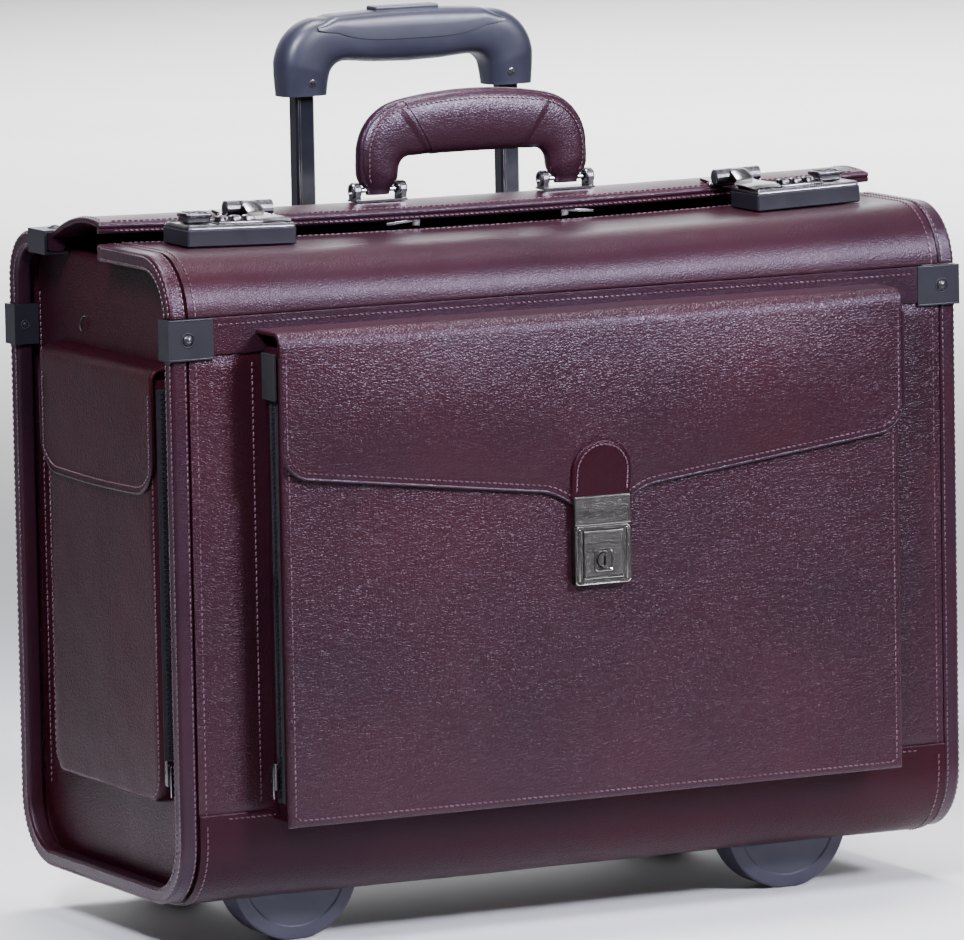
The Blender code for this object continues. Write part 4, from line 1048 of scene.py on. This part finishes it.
def make_end_pocket_front(side, sign):
    """A pocket open at its top: a thin sheet stood off the end panel, closed to it along three sides."""
    front, rear, low, high, corner, stand = -76.0, 64.0, 81.0, 308.0, 15.0, 10.2
    edge = (0.0, 0.15, 0.6, 1.4, 2.6, 4.0)
    columns = [s / (rear - front) for s in stations(0.0, rear - front, 5.0, edge)]
    zs = [low + 15 * (i / 12) ** 1.8 for i in range(12)] + stations(low + 15, high, 5.0, PLAIN_EDGE)

    def pair(z, along):
        narrow = corner_drop(corner, max(0.0, low + corner - z))
        y = front + narrow + along * (rear - front - 2 * narrow)
        d = min(y - front - narrow, rear - narrow - y, z - low)
        rise = stand - rolled(max(0.0, d), 3.0) * stand / 3.0
        swell = 0.7 * waviness(place(sign * END_X, y, z), 0.8) + 0.3 if d > 3 else 0.0
        inner = place(sign * (END_X + 0.1 + max(0.0, rise - 1.8)), y, z)
        return place(sign * (END_X + 0.2 + rise + swell), y, z), inner

    sheet(f"{side}_end_pocket_leather", zs, columns, pair, SMOOTH, "case", (f"{side}_end_pocket",), angle=50)


def make_end_flap(side, sign):
    front = -77.5
    rear = 66.0
    low = 247.0
    corner = 20.0
    bend = 7.0
    top = 315.6
    reach = 235.0
    root = 222.6
    out_run = reach - bend - root
    quarter = bend * math.pi / 2
    body = f"{side}_end_flap"

    def low_edge(y):
        bow = 1.6 * math.sin(math.pi * (y - front) / (rear - front))
        return low + corner_drop(corner, max(0.0, front + corner - y, y - (rear - corner))) - bow

    def at(s, depth):
        if s <= out_run:
            return root + s, top - depth - 1.0 * (s / out_run) ** 2, 0.15, 1.0
        if s <= out_run + quarter:
            a = (s - out_run) / bend
            r = bend - depth
            return reach - bend + r * math.sin(a), top - 1 - bend + r * math.cos(a), math.sin(a), math.cos(a)
        return reach - depth, top - 1 - bend - (s - out_run - quarter), 1.0, 0.0

    def pair(t, y):
        total = out_run + quarter + (top - 1 - bend) - low_edge(y)
        s = total * (1 - (1 - t) ** 1.2)
        x, z, nx, nz = at(s, 0.0)
        edge = max(rolled(total - s, 1.1), rolled(min(y - front, rear - y), 1.1))
        d = 0.4 * waviness(place(sign * x, y, z), 0.5) - edge
        inner_x, inner_z = at(s, 1.9)[:2]
        return place(sign * (x + nx * d), y, z + nz * d), place(sign * inner_x, y, inner_z)

    ends = [corner * (1 - math.cos(math.radians(a))) for a in (0, 8, 16, 25, 35, 45, 56, 67, 78, 90)]
    ys = [front + e for e in ends]
    ys += [front + corner + (rear - front - 2 * corner) * i / 26 for i in range(1, 26)]
    ys += [rear - e for e in reversed(ends)]
    sheet(f"{side}_end_flap_leather", [i / 40 for i in range(41)], ys, pair, SMOOTH, body, (body,))
    rim = [(front + 0.1, 300 - 6 * i) for i in range(5)] + [(y, low_edge(y) + 0.1) for y in ys[1:-1]]
    rim += [(rear - 0.1, 276 + 6 * i) for i in range(5)]
    bead(f"{side}_end_flap_rim", [place(sign * (reach - 0.2), y, z) for y, z in rim], 0.75, body)
    line = [(front + 3.2, 300 - 5 * i) for i in range(7)]
    line += [(clamp(y, front + 3.2, rear - 3.2), low_edge(y) + 3.4) for y in ys[2:-2]]
    line += [(rear - 3.2, 270 + 5 * i) for i in range(7)]
    line = [place(sign * (reach + 0.05), y, z) for y, z in line]
    stitches(f"stitches_{side}_end_flap", line, Vector((sign, 0, 0)), body, 2.8)


# ---------------------------------------------------------------- locks

def lock_matrix(side, sign):
    """Where each lock's own axes stand, worked out from the middle of its plate and its tilt."""
    low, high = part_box(f"{side}_lock_case")
    turn = Matrix.Rotation(-sign * math.radians(1.6), 4, "Y")
    return Matrix.Translation((low + high) / 2) @ turn @ Matrix.Translation((0, 0, -4.75 * MM))


def local(matrix, x, y, z):
    return matrix @ (Vector((x, y, z)) * MM)


def make_locks():
    section = (
        (31.2, 15.4, 9.0), (31.5, 15.7, 9.8), (31.0, 15.2, 10.9), (30.2, 14.4, 11.6), (29.4, 13.6, 11.25), (29.6, 13.8, 10.4),
    )
    for side, sign in SIDES:
        base = lock_matrix(side, sign)
        finish_nodes(CAP_PLASTIC, f"{side}_lock_case")
        finish_nodes(LOCK_STEEL, f"{side}_lock_plate")
        finish_nodes(CHROME, f"{side}_hasp_hinge", f"{side}_lock_slider")
        outline = rounded_outline(-31.2, 31.2, -15.4, 15.4, (1.2,) * 4, 4.0)
        rim = [[local(base, x / 31.2 * u, y / 15.4 * v, z) for u, v, z in section] for x, y in outline]
        loft(f"{side}_lock_rim", rim, CHROME, "front_lid", (), "chrome", True, angle=30)
        verts = []
        faces = []
        for x, row in ((-30 + 60 * i / 43, row) for i in range(44) for row in (-14.9, 14.9)):
            start = len(verts)
            for z, r in ((11.05, 0.42), (11.6, 0.34), (11.77, 0.12)):
                verts += [local(base, x + r * c, row + r * s, z) for c, s in circle(6)]
            for a in (start, start + 6):
                faces += [(a + j, a + k, a + k + 6, a + j + 6) for j, k in ring_pairs(6)]
            faces += [tuple(range(start + 12, start + 18)), tuple(range(start, start + 6))]
        build(f"{side}_lock_beading", verts, faces, CHROME, "front_lid", (), "chrome")
        for index in (1, 2, 3):
            make_dial(side, index, base)
        middle = sign * DIALS_U
        for tag, half, y0, y1, z0, z1, radius, material, slot in (
            ("dial_bed", 12.6, -11.2, 5.2, 11.1, 11.75, 0.3, INK_AND_PAINTED_SHADE, "steel"),
            ("dial_frame_front", 13, -12.2, -10.4, 11.2, 12.8, 0.5, CHROME, "chrome"),
            ("dial_frame_rear", 13, 4.6, 6.4, 11.2, 12.8, 0.5, CHROME, "chrome"),
        ):
            corners = ((middle - half, y0, z0), (middle + half, y1, z1))
            rounded_box(f"{side}_{tag}", *corners, radius, material, "front_lid", slot, base)
        u = sign * 20.0
        slider = f"{side}_lock_slider"
        cap = ((u - 7.6, -4.6, 14.4), (u + 7.6, 8.6, 17.2))
        rounded_box(f"{side}_slider_cap", *cap, 1.1, LOCK_STEEL, slider, "chrome", base)
        for i in range(4):
            x = u - 4.5 + 3 * i
            grip = ((x - 0.5, -3.4, 16.9), (x + 0.5, 7.4, 17.8))
            rounded_box(f"{side}_slider_grip_{i}", *grip, 0.3, CHROME, slider, "chrome", base)
        make_hasp(side, sign, base)


def make_dial(side, index, base):
    """A notched wheel with ten plain marks, on the axis of the CAD dial it replaces."""
    body = f"{side}_dial_{index}"
    low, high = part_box(body)
    matrix = Matrix.Translation((low + high) / 2) @ base.to_3x3().to_4x4()
    radii = [7.9 - (0.6 if k % 8 in (3, 4, 5) else 0.0) for k in range(80)]
    rings = []
    for x, shrink in ((-2.45, 0.5), (-2.1, 0.15), (-1.5, 0.0), (1.5, 0.0), (2.1, 0.15), (2.45, 0.5)):
        rings.append([local(matrix, x, (r - shrink) * c, (r - shrink) * s) for r, (c, s) in zip(radii, circle(80))])
    loft(f"{side}_dial_wheel_{index}", rings, LOCK_STEEL, body, (body,), "steel", angle=30)
    for mark in range(10):
        a = 2 * math.pi * (mark + 0.25 * index) / 10 + math.pi / 2
        c, s = math.cos(a), math.sin(a)
        size = 0.45 if mark % 2 else 0.8
        verts = []
        for up in (7.5, 8.0):
            for x, t in ((-0.495, -size), (0.495, -size), (0.495, size), (-0.495, size)):
                verts.append(local(matrix, x, c * up - s * t, s * up + c * t))
        build(f"{side}_dial_{index}_mark_{mark}", verts, BOX_FACES, INK_AND_PAINTED_SHADE, body, (), "steel", False)


def make_hasp(side, sign, base):
    body = f"{side}_hasp"
    u = sign * -22.5
    profile = [(26.0, 20.5), (22.5, 20.3), (18, 17.8), (13.5, 14.8), (9, 14.1), (0, 14.4), (-7, 13.9), (-11, 12.6)]
    under = [(26.0, 18.8), (23.2, 18.4), (19.2, 16.0), (14.5, 13.0), (9, 12.6), (0, 12.9), (-7, 12.3), (-10.6, 11.8)]

    def pair(both, s):
        (y, z), (y2, z2) = both
        wide = 5.2 if y > 15 else 5.2 + 4.6 * min(1.0, (15 - y) / 5)
        if y < -6:
            wide *= 1 - 0.16 * ((-6 - y) / 5) ** 2
        top = max(z - 0.9 * abs(s) ** 3, z2 + 0.2)
        return local(base, u + s * wide, y, top), local(base, u + s * wide, y2, z2)

    across = [-1.0, -0.97, -0.88, -0.6, -0.25, 0.25, 0.6, 0.88, 0.97, 1.0]
    rows = pair_points(profile, under, 30)
    sheet(f"{side}_hasp_strap", rows, across, pair, CHROME, body, (body,), "chrome", 35)
    rings = []
    for x, r in ((-5.4, 3.6), (-5.2, 4.2), (-1.2, 4.2), (-1.0, 4.0), (-0.8, 4.2), (5.2, 4.2), (5.4, 3.6)):
        rings.append([local(base, u + x, 26 + r * c, 16.3 + r * s) for c, s in circle(28)])
    loft(f"{side}_hasp_eye", rings, CHROME, body, (), "chrome", angle=30)
    for tag, x in (("inner", -sign * 15.0), ("outer", sign * 15.0)):
        centre = local(base, u + x, 27.5, 12.6)
        dome(f"{side}_{tag}_hinge_rivet", centre, (0, -0.2, 1), 2.1, 1.4, CHROME, "rear_flap", "chrome")
    for tag, way in (("a", -1), ("b", 1)):
        centre = local(base, u + way * 13.6, 26, 16.3)
        dome(f"{side}_pin_end_{tag}", centre, (way, 0, 0), 3.2, 0.5, INK_AND_PAINTED_SHADE, "rear_flap", "chrome")


# ---------------------------------------------------------------- caps

def make_caps():
    for side, sign in SIDES:
        finish_nodes(CAP_PLASTIC, *(f"{where}_{side}_cap" for where in ("front", "rear", "top")))
        for tag, x, y, z, axis, radius, height, material, ring in (
            ("front_{}_rivet", 225.8, -106.9, 331.6, TO_FRONT, 2.6, 1.7, CHROME, 3.7),
            ("rear_{}_rivet", 225.8, 106.9, 322, TO_BACK, 2.6, 1.7, CHROME, 3.7),
            ("top_{}_rivet", 225.8, 62, 376.9, UP, 2.6, 1.6, CHROME, 3.7),
            ("rear_{}_inner_rivet", 230.5, 93.5, 322, TO_FRONT, 1.3, 0.5, INK_AND_PAINTED_SHADE, 2.2),
        ):
            dome(tag.format(side), place(sign * x, y, z), axis, radius, height, material, "case", "chrome", ring)
        x0, x1 = sorted((sign * 211.4, sign * 236.4))
        for z0, z1 in ((320.8, 321.8), (341.6, 342.4)):
            lip = ((x0, -107.1, z0), (x1, -106.3, z1))
            rounded_box(f"front_{side}_cap_lip_{round(z0)}", *lip, 0.3, CAP_PLASTIC, "case", "black_plastic")


# ---------------------------------------------------------------- trolley

def make_trolley():
    y = TROLLEY_Y
    outer_half = [(0, 481.6), (20, 481.2), (38, 480.0)]
    outer_half += arc_points(50.6, 453.2, 26.6, 78, 4)
    outer_half += [(77.2, 449), (76.6, 437.2)]
    inner_half = [(0, 453.0), (20, 453.6), (36, 455.0)]
    inner_half += arc_points(38.6, 445.4, 9.6, 86, 6, 8)
    inner_half += [(48.6, 443), (49.2, 437.2)]
    pairs = pair_points(whole(outer_half), whole(inner_half), 120)
    on_upper = (GRIP_PLASTIC, "trolley_upper")

    def depth(x, z):
        return 12.3 - 1.9 * clamp((452 - z) / 14)

    def cover(t, u):
        crest = 481.9 - 2.4 * u * u - 22.0 * max(0.0, abs(u) - 0.8)
        z_low = crest - 2.0 - 13.6 * (1 - abs(u) ** 3.2)
        across = squared(math.cos(t * math.pi), 0.45)
        lift = math.sin(t * math.pi) ** 0.6 if 0 < t < 1 else 0.0
        z = z_low + (crest + 0.25 - z_low) * lift
        return place(57.0 * u, y - 12.75 * across, z), place(57.0 * u, y - 11.55 * across, z - 1.0 * lift)

    arch("grip_shell", pairs, y, depth, 3.0, *on_upper, ("trolley_grip",), "grip_plastic", 40)
    across_grip = [-1 + j / 24 for j in range(49)]
    sheet("grip_top_cover", [i / 14 for i in range(15)], across_grip, cover, *on_upper, (), "grip_plastic", 50)
    finish_nodes(GRIP_PLASTIC, "trolley_button")
    outline = rounded_outline(-19.2, 19.2, y - 5.8, y + 5.8, (5.6,) * 4, 3.0)
    rings = ((0.0, 0.9), (0.6, 1.5), (1.6, 1.7), (4, 1.5))
    pillow(
        "button_cap", outline, lambda u, v, h: place(u, v, 482.3 + h - 0.0016 * u * u), rings, -0.5,
        GRIP_PLASTIC, "trolley_button", "grip_plastic",
    )
    for side, sign in SIDES:
        x, z = sign * 61.0, 445.0
        # Each screw sits on a near-black disc: painted shade for the well round the screw head.
        for tag, forward, radius, height, material in (
            ("screw_well_painted_shade", 11.15, 2.9, 0.45, INK_AND_PAINTED_SHADE), ("grip_screw", 11.45, 1.7, 0.5, CHROME),
        ):
            centre = place(x, y - forward, z)
            dome(f"{side}_{tag}", centre, TO_FRONT, radius, height, material, "trolley_upper", "grip_plastic")
        # A near-black cross over each screw head: painted shade for the screw's cross recess.
        for tag, dx, dz in (("flat", 1.2, 0.25), ("upright", 0.25, 1.2)):
            painted_slot_shade = ((x - dx, y - 12.05, z - dz), (x + dx, y - 11.7, z + dz))
            rounded_box(f"{side}_screw_slot_{tag}", *painted_slot_shade, 0.08, INK_AND_PAINTED_SHADE, "trolley_upper", "grip_plastic")
        finish_nodes(TUBE_BLACK, f"{side}_inner_tube", f"{side}_middle_tube")
        # Two thin bright metal strips down the front of each tube: painted highlights where the tube's edge catches
        # the light.
        for tag, dx in (("a", -4.3), ("b", -3.1)):
            x = sign * 62.6 + dx
            painted_highlight_strip = ((x - 0.2, y - 5.0, 372.5), (x + 0.2, y - 4.7, 437.5))
            rounded_box(f"{side}_tube_line_{tag}", *painted_highlight_strip, 0.1, BRIGHT_METAL_AND_PAINTED_HIGHLIGHT, "trolley_upper", "black_tube")
    finish_nodes(CAP_PLASTIC, "trolley_housing")


# ---------------------------------------------------------------- running gear

def make_running_gear():
    disc = ((21.5, 9.2), (21.5, 10.2), (20.4, 10.7), (9.0, 9.9), (7.9, 11.2), (7.9, 9.2))
    edge = ((36.9, -61.2), (36.95, -61.9), (36.2, -62.45), (30.0, -62.55), (29.0, -61.9))
    for side, sign in SIDES:
        for part, material in (("wheel", TYRE_RUBBER), ("wheel_axle", CHROME), ("wheel_housing", CAP_PLASTIC)):
            finish_nodes(material, f"{side}_{part}")
        for face in (-1, 1):
            rings = [[place(sign * 150 + face * d, 88 + r * c, 33 + r * s) for c, s in circle(36)] for r, d in disc]
            name = f"{side}_hub_disc_{'inner' if face * sign < 0 else 'outer'}"
            loft(name, rings, FOOT_PLASTIC, f"{side}_wheel", (), "rubber", True, angle=30)
        rim = []
        for c, s in arc_points(0, 0, 1, 198, 342, 39):
            rim.append([place(sign * 149.5 + r * c, y, max(0.05, 36.6 + r * s)) for r, y in edge])
        loft(f"{side}_foot_rim", rim, FOOT_PLASTIC, "case", (), "rubber", angle=30)
        finish_nodes(FOOT_PLASTIC, f"{side}_front_foot")


# ---------------------------------------------------------------- stage

def add_object(name, data):
    obj = bpy.data.objects.new(name, data)
    bpy.context.scene.collection.objects.link(obj)
    return obj


def make_stage():
    """A pale floor, a world bright only behind the case as the photo's camera sees it, and four soft lamps."""
    size = 14.0
    floor = bpy.data.meshes.new("floor")
    floor.from_pydata([(-size, -size, 0), (size, -size, 0), (size, size, 0), (-size, size, 0)], [], [(0, 1, 2, 3)])
    ground = add_object("floor", floor)
    ground.location.z = -0.0002
    paper = bpy.data.materials.new("floor_paper")
    recipe = Recipe(paper)
    tint = recipe.noise(recipe.coordinates(), 3.0)
    colour = recipe.ramp(tint, (0.3, (0.86, 0.86, 0.87)), (0.7, (0.9, 0.9, 0.91)))
    recipe.shader({"Base Color": colour, "Roughness": 0.9})
    floor.materials.append(paper)
    world = bpy.data.worlds.new("studio")
    recipe = Recipe(world)
    inputs = {0: recipe.node("TexCoord", "Generated", {}), 1: (0.5, 0.866, 0.0)}
    behind = recipe.node("VectorMath", "Value", inputs, operation="DOT_PRODUCT")
    inputs = {"From Min": 0.70, "From Max": 0.92, "To Min": 0.06, "To Max": 3.8, "Value": behind}
    glow = recipe.node("MapRange", "Result", inputs, interpolation_type="SMOOTHSTEP")
    recipe.shader({"Color": (0.96, 0.97, 1.0, 1.0), "Strength": glow}, "Background")
    bpy.context.scene.world = world
    for name, where, target, width, power, spread, tone in (
        ("key", (1.05, -1.9, 1.6), (0.0, 0.0, 0.38), 0.7, 6.2, 30, (0.86, 0.86, 1.0)),
        ("left", (-1.4, -1.3, 2.0), (0.0, 0.0, 0.40), 0.6, 6.5, 34, (0.86, 0.86, 1.0)),
        ("top", (0.1, 0.2, 2.3), (0.0, 0.05, 0.3), 0.8, 5.5, 36, (0.97, 0.96, 1.0)),
        ("floor", (2.6, 4.0, 2.4), (2.4, 3.8, 0.0), 3.2, 150, 100, (1.0, 1.0, 1.0)),
    ):
        lamp = bpy.data.lights.new(name, "AREA")
        lamp.size = width
        lamp.energy = power
        lamp.color = tone
        lamp.spread = math.radians(spread)
        holder = add_object(name, lamp)
        holder.location = where
        holder.rotation_euler = (Vector(target) - Vector(where)).to_track_quat("-Z", "Y").to_euler()


def make_camera():
    azimuth = math.radians(-26.455)
    elevation = math.radians(7.336)
    roll = math.radians(-1.06)
    distance = 4.9707
    target = Vector((-0.0025, SHIFT, 0.2355))
    level = math.cos(elevation)
    back = Vector((math.sin(azimuth) * level, -math.cos(azimuth) * level, math.sin(elevation)))
    right = Vector((math.cos(azimuth), math.sin(azimuth), 0))
    up = back.cross(right)
    rolled_right = right * math.cos(roll) + up * math.sin(roll)
    rolled_up = up * math.cos(roll) - right * math.sin(roll)
    lens = bpy.data.cameras.new("camera")
    lens.sensor_width = 36.0
    lens.lens = 340.66
    lens.clip_end = 60.0
    camera = add_object("camera", lens)
    rotation = Matrix((rolled_right, rolled_up, back)).transposed().to_4x4()
    camera.matrix_world = Matrix.Translation(target + back * distance) @ rotation
    bpy.context.scene.camera = camera


make_camera()
make_walls()
make_end_panels()
make_bindings()
make_lid()
make_rear_flap()
make_handle()
make_brackets()
make_front_pocket()
make_pocket_flap()
make_pocket_lock()
make_end_pockets()
make_locks()
make_caps()
make_trolley()
make_running_gear()
finish_nodes(LINING, "file_divider")
make_stage()
